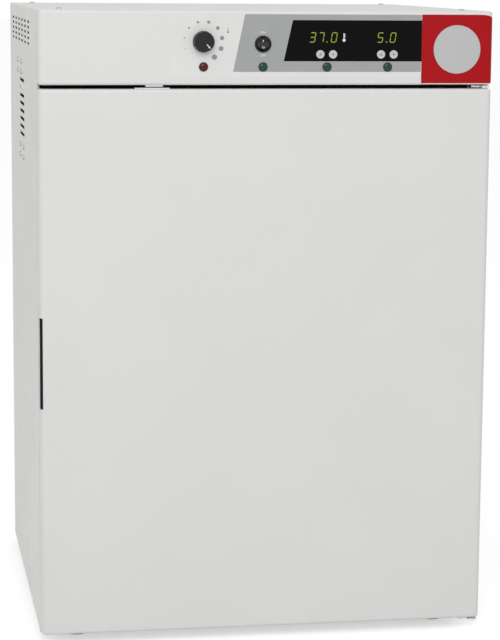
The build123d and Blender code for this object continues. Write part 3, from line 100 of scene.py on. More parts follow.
class Recipe:
    """A finish in the making: one principled shader and the texture nodes that feed it."""

    def __init__(self, name: str) -> None:
        """Start an empty material.

        Args:
            name: the finish's plain name.
        """
        self.material = bpy.data.materials.new(name)
        self.material.use_nodes = True
        self.tree = self.material.node_tree
        self.tree.nodes.clear()
        self.output = self.node("ShaderNodeOutputMaterial")
        self.shader = self.node("ShaderNodeBsdfPrincipled")
        self.tree.links.new(self.shader.outputs["BSDF"], self.output.inputs["Surface"])
        self.coords = self.node("ShaderNodeTexCoord").outputs["Object"]

    def node(self, kind: str, **settings: object) -> bpy.types.Node:
        """Add a node and set its options.

        Args:
            kind: Blender's node type.
            **settings: the node's own options.

        Returns:
            The new node.
        """
        made = self.tree.nodes.new(kind)
        for key, value in settings.items():
            setattr(made, key, value)
        return made

    def plain(self, **sockets: object) -> None:
        """Set sockets of the shader that are the same all over, underscores standing for spaces."""
        for key, value in sockets.items():
            self.shader.inputs[key.replace("_", " ")].default_value = value

    def noise(self, size: float, stretch: Colour = (1, 1, 1), detail: float = 3) -> bpy.types.NodeSocket:
        """Add cloudy noise.

        Args:
            size: width of one cloud in millimetres.
            stretch: how much longer the cloud is along each axis.
            detail: octaves of finer noise.

        Returns:
            The noise's value from 0 to 1.
        """
        mapping = self.node("ShaderNodeMapping")
        mapping.inputs["Scale"].default_value = [1 / (size * MM * part) for part in stretch]
        self.tree.links.new(self.coords, mapping.inputs["Vector"])
        texture = self.node("ShaderNodeTexNoise")
        texture.inputs["Scale"].default_value = 1.0
        texture.inputs["Detail"].default_value = detail
        self.tree.links.new(mapping.outputs["Vector"], texture.inputs["Vector"])
        return texture.outputs["Fac"]

    def cells(self, size: float) -> bpy.types.NodeSocket:
        """Add a pattern of cells.

        Args:
            size: width of one cell in millimetres.

        Returns:
            How far each point is from its cell's middle.
        """
        texture = self.node("ShaderNodeTexVoronoi")
        texture.inputs["Scale"].default_value = 1 / (size * MM)
        self.tree.links.new(self.coords, texture.inputs["Vector"])
        return texture.outputs["Distance"]

    def spread(self, value: bpy.types.NodeSocket, low: float, high: float) -> bpy.types.NodeSocket:
        """Stretch the middle of a noise over a range.

        Args:
            value: noise from 0 to 1.
            low: result at the noise's darker part.
            high: result at its lighter part.

        Returns:
            The stretched value.
        """
        ranged = self.node("ShaderNodeMapRange")
        ranged.inputs["From Min"].default_value = 0.3
        ranged.inputs["From Max"].default_value = 0.7
        ranged.inputs["To Min"].default_value = low
        ranged.inputs["To Max"].default_value = high
        self.tree.links.new(value, ranged.inputs["Value"])
        return ranged.outputs["Result"]

    def tint(self, value: bpy.types.NodeSocket, colour: Colour, sway: float) -> None:
        """Colour the surface, swaying a little darker and lighter with a noise.

        Args:
            value: noise from 0 to 1.
            colour: the finish's linear colour.
            sway: how far the colour goes each way, as a part of itself.
        """
        mixer = self.node("ShaderNodeMix", data_type="RGBA")
        self.tree.links.new(self.spread(value, 0, 1), mixer.inputs["Factor"])
        for name, way in (("A", 1 - sway), ("B", 1 + sway)):
            shade = [min(1.0, part * way) for part in colour]
            mixer.inputs[name].default_value = (*shade, 1)
        self.tree.links.new(mixer.outputs["Result"], self.shader.inputs["Base Color"])

    def feed(self, value: bpy.types.NodeSocket, socket: str) -> None:
        """Join a value to one of the shader's sockets."""
        self.tree.links.new(value, self.shader.inputs[socket])

    def relief(self, value: bpy.types.NodeSocket, depth: float) -> None:
        """Raise the surface with a value, over what was raised before.

        Args:
            value: height from 0 to 1.
            depth: full height in millimetres.
        """
        bump = self.node("ShaderNodeBump")
        bump.inputs["Strength"].default_value = 1.0
        bump.inputs["Distance"].default_value = depth * MM
        self.tree.links.new(value, bump.inputs["Height"])
        normal = self.shader.inputs["Normal"]
        if normal.links:
            self.tree.links.new(normal.links[0].from_socket, bump.inputs["Normal"])
        self.tree.links.new(bump.outputs["Normal"], normal)


@dataclass(frozen=True)
class Finish(ABC):
    """A kind of surface, by its name and its linear colour."""

    name: str
    colour: Colour

    @abstractmethod
    def apply(self, recipe: Recipe) -> None:
        """Give the recipe this finish."""

    def make(self) -> bpy.types.Material:
        """Build the material.

        Returns:
            The material, with its recipe applied.
        """
        recipe = Recipe(self.name)
        self.apply(recipe)
        return recipe.material


@dataclass(frozen=True)
class Paint(Finish):
    """Powder paint on sheet metal, with its faint orange peel."""

    roughness: float = 0.4
    peel: float = 2.2
    peel_depth: float = 0.012

    def apply(self, recipe: Recipe) -> None:
        """Give the recipe this finish.

        Args:
            recipe: the material in the making.
        """
        recipe.tint(recipe.noise(160, detail=4), self.colour, 0.012)
        gloss = recipe.spread(recipe.noise(60), self.roughness - 0.03, self.roughness + 0.04)
        recipe.feed(gloss, "Roughness")
        recipe.relief(recipe.noise(self.peel, detail=1), self.peel_depth)
        recipe.relief(recipe.noise(0.5, detail=1), self.peel_depth / 6)
        recipe.plain(Coat_Weight=0.12, Coat_Roughness=0.22)


@dataclass(frozen=True)
class Steel(Finish):
    """Bare sheet or turned metal, brushed along one axis."""

    grain: Colour = (60, 1, 1)
    roughness: float = 0.32
    grain_depth: float = 0.004

    def apply(self, recipe: Recipe) -> None:
        """Give the recipe this finish.

        Args:
            recipe: the material in the making.
        """
        lines = recipe.noise(0.45, self.grain, detail=4)
        recipe.tint(lines, self.colour, 0.05)
        recipe.feed(recipe.spread(lines, self.roughness - 0.07, self.roughness + 0.09), "Roughness")
        recipe.relief(lines, self.grain_depth)
        recipe.relief(recipe.noise(90, detail=2), 0.06)
        recipe.plain(Metallic=1.0)


@dataclass(frozen=True)
class Spangle(Finish):
    """Zinc plate or cast metal, with a fine mottled surface."""

    grain: float = 3.0
    roughness: float = 0.38
    depth: float = 0.01
    metallic: float = 1.0

    def apply(self, recipe: Recipe) -> None:
        """Give the recipe this finish.

        Args:
            recipe: the material in the making.
        """
        grains = recipe.cells(self.grain)
        recipe.tint(recipe.noise(self.grain * 3), self.colour, 0.08)
        recipe.feed(recipe.spread(grains, self.roughness - 0.08, self.roughness + 0.1), "Roughness")
        recipe.relief(recipe.noise(self.grain / 2, detail=4), self.depth)
        recipe.plain(Metallic=self.metallic)


@dataclass(frozen=True)
class Moulding(Finish):
    """Moulded plastic or rubber, with a fine spark-eroded grain."""

    roughness: float = 0.45
    grain: float = 0.35
    depth: float = 0.01
    specular: float = 0.5

    def apply(self, recipe: Recipe) -> None:
        """Give the recipe this finish.

        Args:
            recipe: the material in the making.
        """
        recipe.tint(recipe.noise(12, detail=4), self.colour, 0.05)
        recipe.feed(recipe.spread(recipe.noise(6), self.roughness - 0.04, self.roughness + 0.06), "Roughness")
        recipe.relief(recipe.noise(self.grain, detail=2), self.depth)
        recipe.plain(Specular_IOR_Level=self.specular)


@dataclass(frozen=True)
class Gloss(Finish):
    """Polished acrylic or enamel, with faint cloth marks."""

    roughness: float = 0.08
    glow: float = 0.0
    see_through: float = 0.0
    specular: float = 0.5

    def apply(self, recipe: Recipe) -> None:
        """Give the recipe this finish.

        Args:
            recipe: the material in the making.
        """
        recipe.tint(recipe.noise(25), self.colour, 0.04)
        marks = recipe.noise(1.2, (14, 1, 1), detail=5)
        recipe.feed(recipe.spread(marks, self.roughness, self.roughness + 0.06), "Roughness")
        recipe.relief(recipe.noise(30, detail=1), 0.02)
        recipe.plain(Transmission_Weight=self.see_through, IOR=1.49, Specular_IOR_Level=self.specular)
        if self.glow:
            recipe.plain(Emission_Color=(*self.colour, 1), Emission_Strength=self.glow)


@dataclass(frozen=True)
class Glass(Finish):
    """Clear toughened glass with a faint green body."""

    colour: Colour = (0.93, 0.975, 0.955)

    def apply(self, recipe: Recipe) -> None:
        """Give the recipe this finish.

        Args:
            recipe: the material in the making.
        """
        recipe.tint(recipe.noise(200, detail=1), self.colour, 0.01)
        recipe.feed(recipe.spread(recipe.noise(40, detail=4), 0.0, 0.025), "Roughness")
        recipe.relief(recipe.noise(180, detail=1), 0.02)
        recipe.plain(Transmission_Weight=0.96, IOR=1.5)


@dataclass(frozen=True)
class Print(Finish):
    """Screen-printed ink, which stands a hair above its film."""

    roughness: float = 0.5
    specular: float = 0.5

    def apply(self, recipe: Recipe) -> None:
        """Give the recipe this finish.

        Args:
            recipe: the material in the making.
        """
        recipe.tint(recipe.noise(30, detail=3), self.colour, 0.02)
        recipe.feed(recipe.spread(recipe.noise(9), self.roughness - 0.05, self.roughness + 0.05), "Roughness")
        recipe.relief(recipe.noise(0.3, detail=2), 0.004)
        recipe.plain(Specular_IOR_Level=self.specular)


@dataclass(frozen=True)
class Foam(Finish):
    """Rigid foam or mineral wool."""

    def apply(self, recipe: Recipe) -> None:
        """Give the recipe this finish.

        Args:
            recipe: the material in the making.
        """
        recipe.tint(recipe.noise(8, detail=6), self.colour, 0.15)
        recipe.relief(recipe.cells(2.5), 0.6)
        recipe.plain(Roughness=0.95)


@dataclass(frozen=True)
class Board(Finish):
    """Green solder mask with faint copper tracks under it."""

    def apply(self, recipe: Recipe) -> None:
        """Give the recipe this finish.

        Args:
            recipe: the material in the making.
        """
        brick = recipe.node("ShaderNodeTexBrick")
        brick.inputs["Scale"].default_value = 1 / (9 * MM)
        brick.inputs["Mortar Size"].default_value = 0.05
        brick.inputs["Color1"].default_value = (*self.colour, 1)
        brick.inputs["Color2"].default_value = (*self.colour, 1)
        brick.inputs["Mortar"].default_value = (*[part * 1.7 for part in self.colour], 1)
        recipe.tree.links.new(recipe.coords, brick.inputs["Vector"])
        recipe.tree.links.new(brick.outputs["Color"], recipe.shader.inputs["Base Color"])
        recipe.relief(brick.outputs["Fac"], 0.04)
        recipe.plain(Roughness=0.35)


FINISHES = {
    "paint_white": Paint("white_paint", (0.76, 0.765, 0.75)),
    "paint_cabinet": Paint("cabinet_paint", (0.70, 0.695, 0.67)),
    "paint_frame": Paint("frame_paint", (0.60, 0.60, 0.58)),
    "stainless": Steel("brushed_stainless", (0.63, 0.63, 0.62)),
    "zinc_plate": Spangle("zinc_plate", (0.60, 0.61, 0.62)),
    "insulation_foam": Foam("insulation_foam", (0.78, 0.72, 0.48)),
    "heater_rubber": Moulding("heater_mat", (0.45, 0.10, 0.03), 0.6, 2.0, 0.1),
    "seal_rubber": Moulding("seal_rubber", (0.42, 0.42, 0.40), 0.6, 0.5, 0.02),
    "clear_glass": Glass("door_glass"),
    "black_plastic": Moulding("black_moulding", (0.007, 0.007, 0.008), 0.32, specular=0.28),
    "window_black": Gloss("window_acrylic", (0.003, 0.003, 0.0035), 0.10, specular=0.07),
    "white_plastic": Moulding("white_moulding", (0.58, 0.58, 0.57), 0.3),
    "lamp_lens": Gloss("green_lens", (0.002, 0.055, 0.030), 0.06, specular=0.35),
    "circuit_board": Board("circuit_board", (0.01, 0.12, 0.04)),
    "overlay_film": Print("overlay_film", (0.77, 0.775, 0.76), 0.42),
    "badge_silver": Steel("badge_metal", (0.42, 0.425, 0.42), (1, 1, 1), 0.42, 0.002),
    "cast_aluminium": Spangle("cast_aluminium", (0.62, 0.63, 0.64), 1.2, 0.42, 0.03),
    "sensor_steel": Moulding("sensor_housing", (0.30, 0.31, 0.32), 0.45),
    "brass_fitting": Spangle("brass", (0.62, 0.42, 0.16), 0.8, 0.28, 0.004),
    "gas_hose": Gloss("gas_hose", (0.72, 0.76, 0.78), 0.2, 0.0, 0.3),
    "stopper_rubber": Moulding("stopper_rubber", (0.60, 0.57, 0.52), 0.55, 0.6, 0.02),
    "foot_rubber": Moulding("foot_rubber", (0.015, 0.015, 0.015), 0.65, 0.8, 0.04),
    "screw_steel": Steel("screw_steel", (0.42, 0.42, 0.41), (1, 1, 1), 0.3, 0.001),
    # painted shade: black for the strip behind the panel-door gap, which stands in for the gap's shade
    "gap_black": Moulding("gap_painted_shade", (0.006, 0.006, 0.006), 0.9, 1.0, 0.1, 0.1),
    "grey_ink": Print("grey_ink", (0.36, 0.37, 0.37)),
    "red_ink": Print("red_ink", (0.42, 0.006, 0.010), 0.4, 0.12),
    "dial_ink": Print("dial_ink", (0.27, 0.28, 0.28)),
    "white_ink": Print("white_ink", (0.82, 0.82, 0.82)),
    "digit_glow": Gloss("digit_glow", (0.25, 0.33, 0.04), 0.4, 0.35, specular=0.1),
    "red_lens": Gloss("red_lens", (0.10, 0.002, 0.004), 0.06, specular=0.3),
}


@cache
def finish_of(key: str) -> bpy.types.Material:
    """Make a finish's material the first time that it is asked for."""
    return FINISHES[key].make()


def settle(
    mesh: bpy.types.Mesh, name: str, finish: str, body: Body, angle: float = 35
) -> bpy.types.Object:
    """Make a mesh into a finished piece that rides on a body.

    Args:
        mesh: the piece's mesh, in the frame's metres.
        name: the piece's name.
        finish: key of its finish.
        body: the body that carries it.
        angle: edges sharper than this many degrees stay sharp.

    Returns:
        The new object.
    """
    mesh.name = name
    mesh.materials.clear()
    mesh.materials.append(finish_of(finish))
    mesh.polygons.foreach_set("use_smooth", [True] * len(mesh.polygons))
    mesh.set_sharp_from_angle(angle=math.radians(angle))
    piece = bpy.data.objects.new(name, mesh)
    bpy.context.scene.collection.objects.link(piece)
    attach(piece, body.value)
    log.info("%s rides on %s", name, body.value)
    return piece


def from_bmesh(shape: bmesh.types.BMesh, weld: float = 1e-6) -> bpy.types.Mesh:
    """Close a bmesh and turn it into a mesh.

    Args:
        shape: the bmesh, which is freed.
        weld: points closer than this many metres become one.

    Returns:
        The mesh.
    """
    bmesh.ops.remove_doubles(shape, verts=shape.verts, dist=weld)
    bmesh.ops.recalc_face_normals(shape, faces=shape.faces)
    mesh = bpy.data.meshes.new("shape")
    shape.to_mesh(mesh)
    shape.free()
    return mesh


def joined(meshes: Iterable[bpy.types.Mesh]) -> bpy.types.Mesh:
    """Put several meshes into one.

    Args:
        meshes: the meshes, which stay as they are.

    Returns:
        One mesh with all of them.
    """
    shape = bmesh.new()
    for mesh in meshes:
        shape.from_mesh(mesh)
    return from_bmesh(shape, 1e-8)


def plate(
    loops: Sequence[Loop], front: float, thickness: float, round_over: float = 0.0
) -> bpy.types.Mesh:
    """Cut a flat plate that faces the front, with holes where one outline lies in another.

    Args:
        loops: outlines as (across, height) places.
        front: depth of its front face.
        thickness: how thick it is.
        round_over: radius of its rounded edges, all in millimetres.

    Returns:
        The plate's mesh.
    """
    curve = bpy.data.curves.new("outline", "CURVE")
    curve.dimensions = "2D"
    curve.fill_mode = "BOTH"
    curve.extrude = max(thickness / 2 - round_over, 1e-4) * MM
    curve.bevel_depth = round_over * MM
    curve.bevel_resolution = 3
    curve.offset = -round_over * MM
    for loop in loops:
        line = curve.splines.new("POLY")
        line.points.add(len(loop) - 1)
        line.use_cyclic_u = True
        for point, (across, height) in zip(line.points, loop):
            point.co = (across * MM, height * MM, 0, 1)
    holder = bpy.data.objects.new("outline", curve)
    bpy.context.scene.collection.objects.link(holder)
    bpy.context.view_layer.update()
    mesh = bpy.data.meshes.new_from_object(holder.evaluated_get(bpy.context.evaluated_depsgraph_get()))
    bpy.data.objects.remove(holder)
    bpy.data.curves.remove(curve)
    place = Matrix.Translation(spot(0, front + thickness / 2, 0))
    mesh.transform(place @ Matrix.Rotation(math.pi / 2, 4, "X"))
    shape = bmesh.new()
    shape.from_mesh(mesh)
    bmesh.ops.triangulate(shape, faces=shape.faces, ngon_method="EAR_CLIP")
    return from_bmesh(shape)


def circle(across: float, height: float, radius: float, steps: int = 40) -> list[Pair]:
    """List points around a circle on the panel."""
    turns = [2 * math.pi * step / steps for step in range(steps)]
    return [(across + radius * math.cos(turn), height + radius * math.sin(turn)) for turn in turns]


def rounded(low: Pair, high: Pair, radius: float, steps: int = 6) -> list[Pair]:
    """List points around a rectangle with rounded corners.

    Args:
        low: its lower left corner.
        high: its upper right corner.
        radius: corner radius.
        steps: points to each corner.

    Returns:
        The outline, anticlockwise from the right side.
    """
    corners = ((high[0], high[1]), (low[0], high[1]), (low[0], low[1]), (high[0], low[1]))
    points = []
    for quarter, (x, z) in enumerate(corners):
        middle_x = x + (-radius if quarter in (0, 3) else radius)
        middle_z = z + (-radius if quarter in (0, 1) else radius)
        for step in range(steps + 1):
            turn = math.pi / 2 * (quarter + step / steps)
            points.append((middle_x + radius * math.cos(turn), middle_z + radius * math.sin(turn)))
    return points


def lathe(profile: Sequence[Pair], place: Matrix, steps: int = 40) -> bpy.types.Mesh:
    """Turn a profile about an axis.

    Args:
        profile: (radius, distance along the axis) in millimetres, from one end to the other.
        place: puts the axis, which is local Z, into the frame.
        steps: facets around.

    Returns:
        The turned mesh.
    """
    shape = bmesh.new()
    rings = []
    for radius, along in profile:
        if radius == 0:
            rings.append([shape.verts.new((0, 0, along * MM))])
            continue
        ring = []
        for step in range(steps):
            turn = 2 * math.pi * step / steps
            point = (radius * MM * math.cos(turn), radius * MM * math.sin(turn), along * MM)
            ring.append(shape.verts.new(point))
        rings.append(ring)
    for one, two in zip(rings, rings[1:]):
        for step in range(steps):
            after = (step + 1) % steps
            corners = [one[step % len(one)], one[after % len(one)]]
            corners += [two[after % len(two)], two[step % len(two)]]
            shape.faces.new(list(dict.fromkeys(corners)))
    for end in (rings[0], rings[-1]):
        if len(end) > 1:
            shape.faces.new(end)
    shape.transform(place)
    return from_bmesh(shape)


def facing(across: float, depth: float, height: float, outward: Vector) -> Matrix:
    """Matrix whose local Z points outward from a place on the cabinet."""
    turn = outward.to_track_quat("Z", "Y").to_matrix().to_4x4()
    return Matrix.Translation(spot(across, depth, height)) @ turn


def carved(mesh: bpy.types.Mesh, cutter: bpy.types.Mesh) -> bpy.types.Mesh:
    """Cut one mesh's shape out of another's.

    Args:
        mesh: the mesh that is cut.
        cutter: the shape that is taken out of it.

    Returns:
        What is left of the mesh.
    """
    keep, tool = (bpy.data.objects.new("work", part) for part in (mesh, cutter))
    for item in (keep, tool):
        bpy.context.scene.collection.objects.link(item)
    cut = keep.modifiers.new("cut", "BOOLEAN")
    cut.operation = "DIFFERENCE"
    cut.solver = "EXACT"
    cut.object = tool
    bpy.context.view_layer.update()
    rest = bpy.data.meshes.new_from_object(keep.evaluated_get(bpy.context.evaluated_depsgraph_get()))
    for item in (keep, tool):
        bpy.data.objects.remove(item)
    return rest


TOWARDS_VIEWER = Vector((0, -1, 0))


def surface_of(node: str) -> BVHTree:
    """Build a search tree over one of the solids.

    Args:
        node: the solid's name in the frame.

    Returns:
        The tree, in the frame's metres.
    """
    shape = bmesh.new()
    shape.from_mesh(frame["nodes"][node].data)
    tree = BVHTree.FromBMesh(shape)
    shape.free()
    return tree


class PaintedCase:
    """Everything that stays as the solids have it: each node gets its slot's finish."""

    def dress(self) -> None:
        """Give every solid the finish of its slot."""
        slots = {part["node"]: part["material_slot"] for part in frame["record"]["subparts"]}
        for name, node in frame["nodes"].items():
            finish = finish_of(slots[name])
            for holder in node.material_slots:
                holder.material = finish
            log.info("%s is finished as %s", name, slots[name])


@dataclass
class CaseScrews:
    """Pan-head screws with a cross recess, in the places of the solids' plain heads."""

    radius: float = 4.0
    height: float = 2.3
    recess_reach: float = 2.3
    recess_width: float = 0.75
    recess_depth: float = 1.5
    recess_taper: float = 0.35
    recess_turn: float = 0.4
    top_across: float = 285.0
    top_depths: Pair = (50.0, 560.0)
    side_across: float = 317.5
    pairs: Sequence[Pair] = ((370.5, 83.4), (370.5, 98.5), (333.0, 209.6), (333.0, 224.3))
    pair_spacing: float = 75.0
    case_height: float = 876.0

    def head(self) -> bpy.types.Mesh:
        """Build one head on the origin, its axis along Z.

        Returns:
            The head's mesh.
        """
        crown = [(self.radius * math.cos(turn), self.height * (0.45 + 0.55 * math.sin(turn)))
                 for turn in (0, 0.25, 0.5, 0.75, 1.0, 1.25, 1.45)]
        blank = lathe([(self.radius, 0), *crown, (0, self.height)], Matrix(), 32)
        size = (2 * self.recess_reach, self.recess_width, 2 * self.recess_depth)
        for turn in (0, math.pi / 2):
            arm = bmesh.new()
            bmesh.ops.create_cube(arm, size=1)
            bmesh.ops.scale(arm, vec=Vector(size) * MM, verts=arm.verts)
            for corner in arm.verts:
                if corner.co.z < 0:
                    corner.co.x *= self.recess_taper
            lift = Matrix.Translation((0, 0, self.height * MM))
            arm.transform(lift @ Matrix.Rotation(turn + self.recess_turn, 4, "Z"))
            blank = carved(blank, from_bmesh(arm))
        return blank

    def places(self) -> list[Matrix]:
        """List where the heads go, each turned a little differently.

        Returns:
            A matrix for each head, which sets its axis square to the case.
        """
        found = []
        for across in (-self.top_across, self.top_across):
            for depth in self.top_depths:
                found.append(facing(across, depth, self.case_height, Vector((0, 0, 1))))
        for side in (-1, 1):
            for depth, drop in self.pairs:
                for way in (-0.5, 0.5):
                    behind = depth + way * self.pair_spacing
                    height = self.case_height - drop
                    found.append(facing(side * self.side_across, behind, height, Vector((side, 0, 0))))
        return [place @ Matrix.Rotation(1.7 * number, 4, "Z") for number, place in enumerate(found)]

    def dress(self) -> None:
        """Build the screws and let them stand for the plain ones."""
        head = self.head()
        heads = []
        for place in self.places():
            copy = head.copy()
            copy.transform(place)
            heads.append(copy)
        piece = settle(joined(heads), "case_screw_heads", "screw_steel", Body.CABINET, 30)
        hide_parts("case_screws")


@dataclass(frozen=True)
class Sign:
    """A small thermometer: a stem over a bulb, with its sizes in millimetres."""

    across: float
    height: float
    half_width: float
    low: float
    high: float
    corner: float
    bulb_drop: float
    bulb_radius: float

    def loops(self) -> list[Loop]:
        """Outline the stem and the bulb.

        Returns:
            The stem's outline, then the bulb's.
        """
        low = (self.across - self.half_width, self.height + self.low)
        high = (self.across + self.half_width, self.height + self.high)
        bulb = circle(self.across, self.height - self.bulb_drop, self.bulb_radius, 24)
        return [rounded(low, high, self.corner, 4), bulb]


@dataclass
class PanelPrints:
    """The printed artwork of the control panel: band, dial, marks and digits."""

    film: float = -0.5
    ink: float = 0.08
    band: Loop = ((-50.1, 792.0), (214.4, 792.0), (214.4, 870.7), (-33.7, 870.7))
    window: Loop = ((20.2, 806.2), (214.4, 806.2), (214.4, 863.2), (32.6, 863.2))
    switch: tuple[float, float, float] = (-8.7, 830.1, 11.9)
    lamps: Sequence[Pair] = ((-8.4, 798.8), (81.3, 798.8), (167.0, 798.8))
    lamp_radius: float = 6.3
    dial_dots: Sequence[Pair] = (
        (-116.1, 823.6), (-117.7, 838.3), (-111.5, 851.8), (-99.1, 859.5), (-84.2, 859.6),
        (-71.6, 851.6), (-65.6, 838.2), (-66.9, 823.8), (-76.0, 812.1),
    )
    dot_radii: Pair = (0.6, 3.7)
    sign: Sign = Sign(-57.5, 848.5, 0.5, -1.5, 4.2, 0.45, 2.4, 1.5)

    def grey_band(self) -> None:
        """Print the slanted band around the window, the switch and the green lamps."""
        holes = [circle(*self.switch), *(circle(*place, self.lamp_radius) for place in self.lamps)]
        mesh = plate([self.window_notch(), *holes], self.film - self.ink, self.ink)
        settle(mesh, "panel_band", "grey_ink", Body.CABINET)

    def window_notch(self) -> list[Pair]:
        """Outline the band, which runs around the window as a C.

        Returns:
            The band's eight corners.
        """
        (low_x, low_z), (_, _), (_, _), (high_x, high_z) = self.window
        left_low, right_low, right_high, left_high = self.band
        return [
            left_low, right_low, (right_low[0], low_z), (low_x, low_z),
            (high_x, high_z), (right_high[0], high_z), right_high, left_high,
        ]

    def heat_sign(self) -> None:
        """Print the small thermometer sign beside the dial."""
        marks = [plate([loop], self.film - self.ink, self.ink) for loop in self.sign.loops()]
        settle(joined(marks), "dial_sign", "dial_ink", Body.CABINET)

    def dial(self) -> None:
        """Print the dots that grow around the thermostat knob."""
        last = len(self.dial_dots) - 1
        first, final = self.dot_radii
        for number, place in enumerate(self.dial_dots):
            radius = first + (final - first) * number / last
            mesh = plate([circle(*place, radius)], self.film - self.ink, self.ink)
            settle(mesh, f"dial_dot_{number + 1}", "dial_ink", Body.CABINET)

    def dress(self) -> None:
        """Print all of it."""
        self.grey_band()
        self.dial()
        self.heat_sign()


@dataclass
class RedBadge:
    """The red printed end of the panel, wrapped around its right-hand bends."""

    left: float = 215.3
    low: float = 774.4
    high: float = 871.1
    corner_across: float = 299.8
    corner_low: float = 865.5
    end_radius: float = 5.0
    side: float = 317.5
    bend: float = 7.5
    stand_off: float = 0.12
    wrap_depth: float = 12.0
    film_thickness: float = 0.08
    search_start: float = 5
    search_reach: float = 12
    steps_across: int = 44
    steps_up: int = 40

    def profile(self, along: float) -> tuple[float, float, Vector]:
        """Follow the panel's outline in plan.

        Args:
            along: millimetres to the right of the band's end, over the bend.

        Returns:
            Across, depth and the outward direction there.
        """
        flat = self.side - self.bend - self.left
        arc = self.bend * math.pi / 2
        if along <= flat:
            return self.left + along, 0.0, Vector((0, -1, 0))
        if along <= flat + arc:
            turn = (along - flat) / self.bend
            outward = Vector((math.sin(turn), -math.cos(turn), 0))
            centre = self.side - self.bend
            return centre + self.bend * outward.x, self.bend * (1 + outward.y), outward
        return self.side, self.bend + along - flat - arc, Vector((1, 0, 0))

    def height_range(self, across: float) -> Pair:
        """Find the print's lower and upper edge, cut away at its right-hand corners.

        Args:
            across: the place across, in millimetres.

        Returns:
            The two heights.
        """
        low, high = self.low, self.high
        if across > self.corner_across:
            part = min(1.0, (across - self.corner_across) / (self.side - self.corner_across))
            high -= (self.high - self.corner_low) * (1 - math.sqrt(max(0.0, 1 - part * part)))
        start = self.side - self.end_radius
        if across > start:
            part = min(1.0, (across - start) / self.end_radius)
            low += self.end_radius * (1 - math.sqrt(max(0.0, 1 - part * part)))
        return low, high

    def dress(self) -> None:
        """Lay the film on the panel's surface, point by point."""
        tree = surface_of("control_fascia")
        flat = self.side - self.bend - self.left
        total = flat + self.bend * math.pi / 2 + self.wrap_depth - self.bend
        shape = bmesh.new()
        grid = []
        for step in range(self.steps_across + 1):
            part = step / self.steps_across
            along = flat * part * 2 if part < 0.5 else flat + (total - flat) * (part * 2 - 1)
            across, depth, outward = self.profile(along)
            low, high = self.height_range(across)
            column = []
            for row in range(self.steps_up + 1):
                height = low + (high - low) * row / self.steps_up
                start = spot(across, depth, height) + outward * self.search_start * MM
                hit, normal, _, _ = tree.ray_cast(start, -outward, self.search_reach * MM)
                base = hit if hit is not None else spot(across, depth, height)
                lift = normal if normal is not None and normal.dot(outward) > 0 else outward
                column.append(shape.verts.new(base + lift * self.stand_off * MM))
            grid.append(column)
        for one, two in zip(grid, grid[1:]):
            for row in range(self.steps_up):
                shape.faces.new((one[row], two[row], two[row + 1], one[row + 1]))
        shape.normal_update()
        bmesh.ops.solidify(shape, geom=shape.faces[:], thickness=-self.film_thickness * MM)
        settle(from_bmesh(shape), "red_panel_end", "red_ink", Body.CABINET, 60)


SEGMENT_CODES = {"0": "abcdef", "3": "abcdg", "5": "acdfg", "7": "abc"}


@dataclass
class DigitDisplays:
    """Seven-segment digits that glow behind the black window, and the small marks beside them."""

    low: float = 832.3
    high: float = 846.3
    digit_width: float = 8.1
    slant: float = 0.17
    bar: float = 1.15
    gap: float = 0.25
    front: float = -0.56
    cover: float = 0.5
    point_radius: float = 0.9
    sign: Sign = Sign(104.9, 839.6, 0.85, -2.5, 5.6, 0.8, 4.0, 2.2)
    tick_reach: Pair = (1.5, 2.9)
    tick_rises: Pair = (0.8, 3.2)
    tick_width: float = 0.5
    tick_corner: float = 0.2
    digits: Sequence[tuple[str, float]] = (
        ("3", 55.6), ("7", 67.5), ("0", 85.7), ("5", 151.1), ("0", 168.9),
    )
    points: Sequence[float] = (81.0, 165.0)

    def segment(self, key: str) -> list[Pair]:
        """Outline of one bar of a digit whose lower left corner is (0, 0).

        Args:
            key: the bar's letter, from a at the top round to g in the middle.

        Returns:
            The bar's six corners.
        """
        half = self.bar / 2
        tall = self.high - self.low
        middle = tall / 2
        left, right = half, self.digit_width - half
        ends = {
            "a": ((left, tall - half), (right, tall - half)),
            "b": ((right, tall - half), (right, middle)),
            "c": ((right, middle), (right, half)),
            "d": ((left, half), (right, half)),
            "e": ((left, middle), (left, half)),
            "f": ((left, tall - half), (left, middle)),
            "g": ((left, middle), (right, middle)),
        }[key]
        (x1, z1), (x2, z2) = ends
        length = math.hypot(x2 - x1, z2 - z1)
        ux, uz = (x2 - x1) / length, (z2 - z1) / length
        corners = []
        for base, way in (((x1, z1), 1), ((x2, z2), -1)):
            bx, bz = base[0] + way * ux * self.gap, base[1] + way * uz * self.gap
            for along, aside in ((half, -half), (0, 0), (half, half)):
                step = along * way
                corners.append((bx + ux * step - uz * aside * way, bz + uz * step + ux * aside * way))
        return corners

    def dress(self) -> None:
        """Light the digits and their points."""
        for number, (digit, left) in enumerate(self.digits):
            bars = []
            for key in SEGMENT_CODES[digit]:
                outline = [(left + x + z * self.slant, self.low + z) for x, z in self.segment(key)]
                bars.append(self.lit(outline))
            name = f"digit_{number + 1}_value_{digit}"
            settle(joined(bars), name, "digit_glow", Body.CABINET)
        for number, across in enumerate(self.points):
            dot = self.lit(circle(across, self.low + self.point_radius, self.point_radius, 20))
            settle(dot, f"digit_point_{number + 1}", "digit_glow", Body.CABINET)
        self.thermometer()

    def lit(self, outline: Loop) -> bpy.types.Mesh:
        """Cut one thin mark that stands on the window's face."""
        return plate([outline], self.front, -self.front - self.cover)

    def thermometer(self) -> None:
        """Print a small thermometer sign, a bulb under a stem with two ticks."""
        start, end = (self.sign.across + reach for reach in self.tick_reach)
        height = self.sign.height
        ticks = [
            rounded((start, height + rise), (end, height + rise + self.tick_width), self.tick_corner, 2)
            for rise in self.tick_rises
        ]
        marks = [self.lit(loop) for loop in (*self.sign.loops(), *ticks)]
        settle(joined(marks), "thermometer_sign", "white_ink", Body.CABINET)


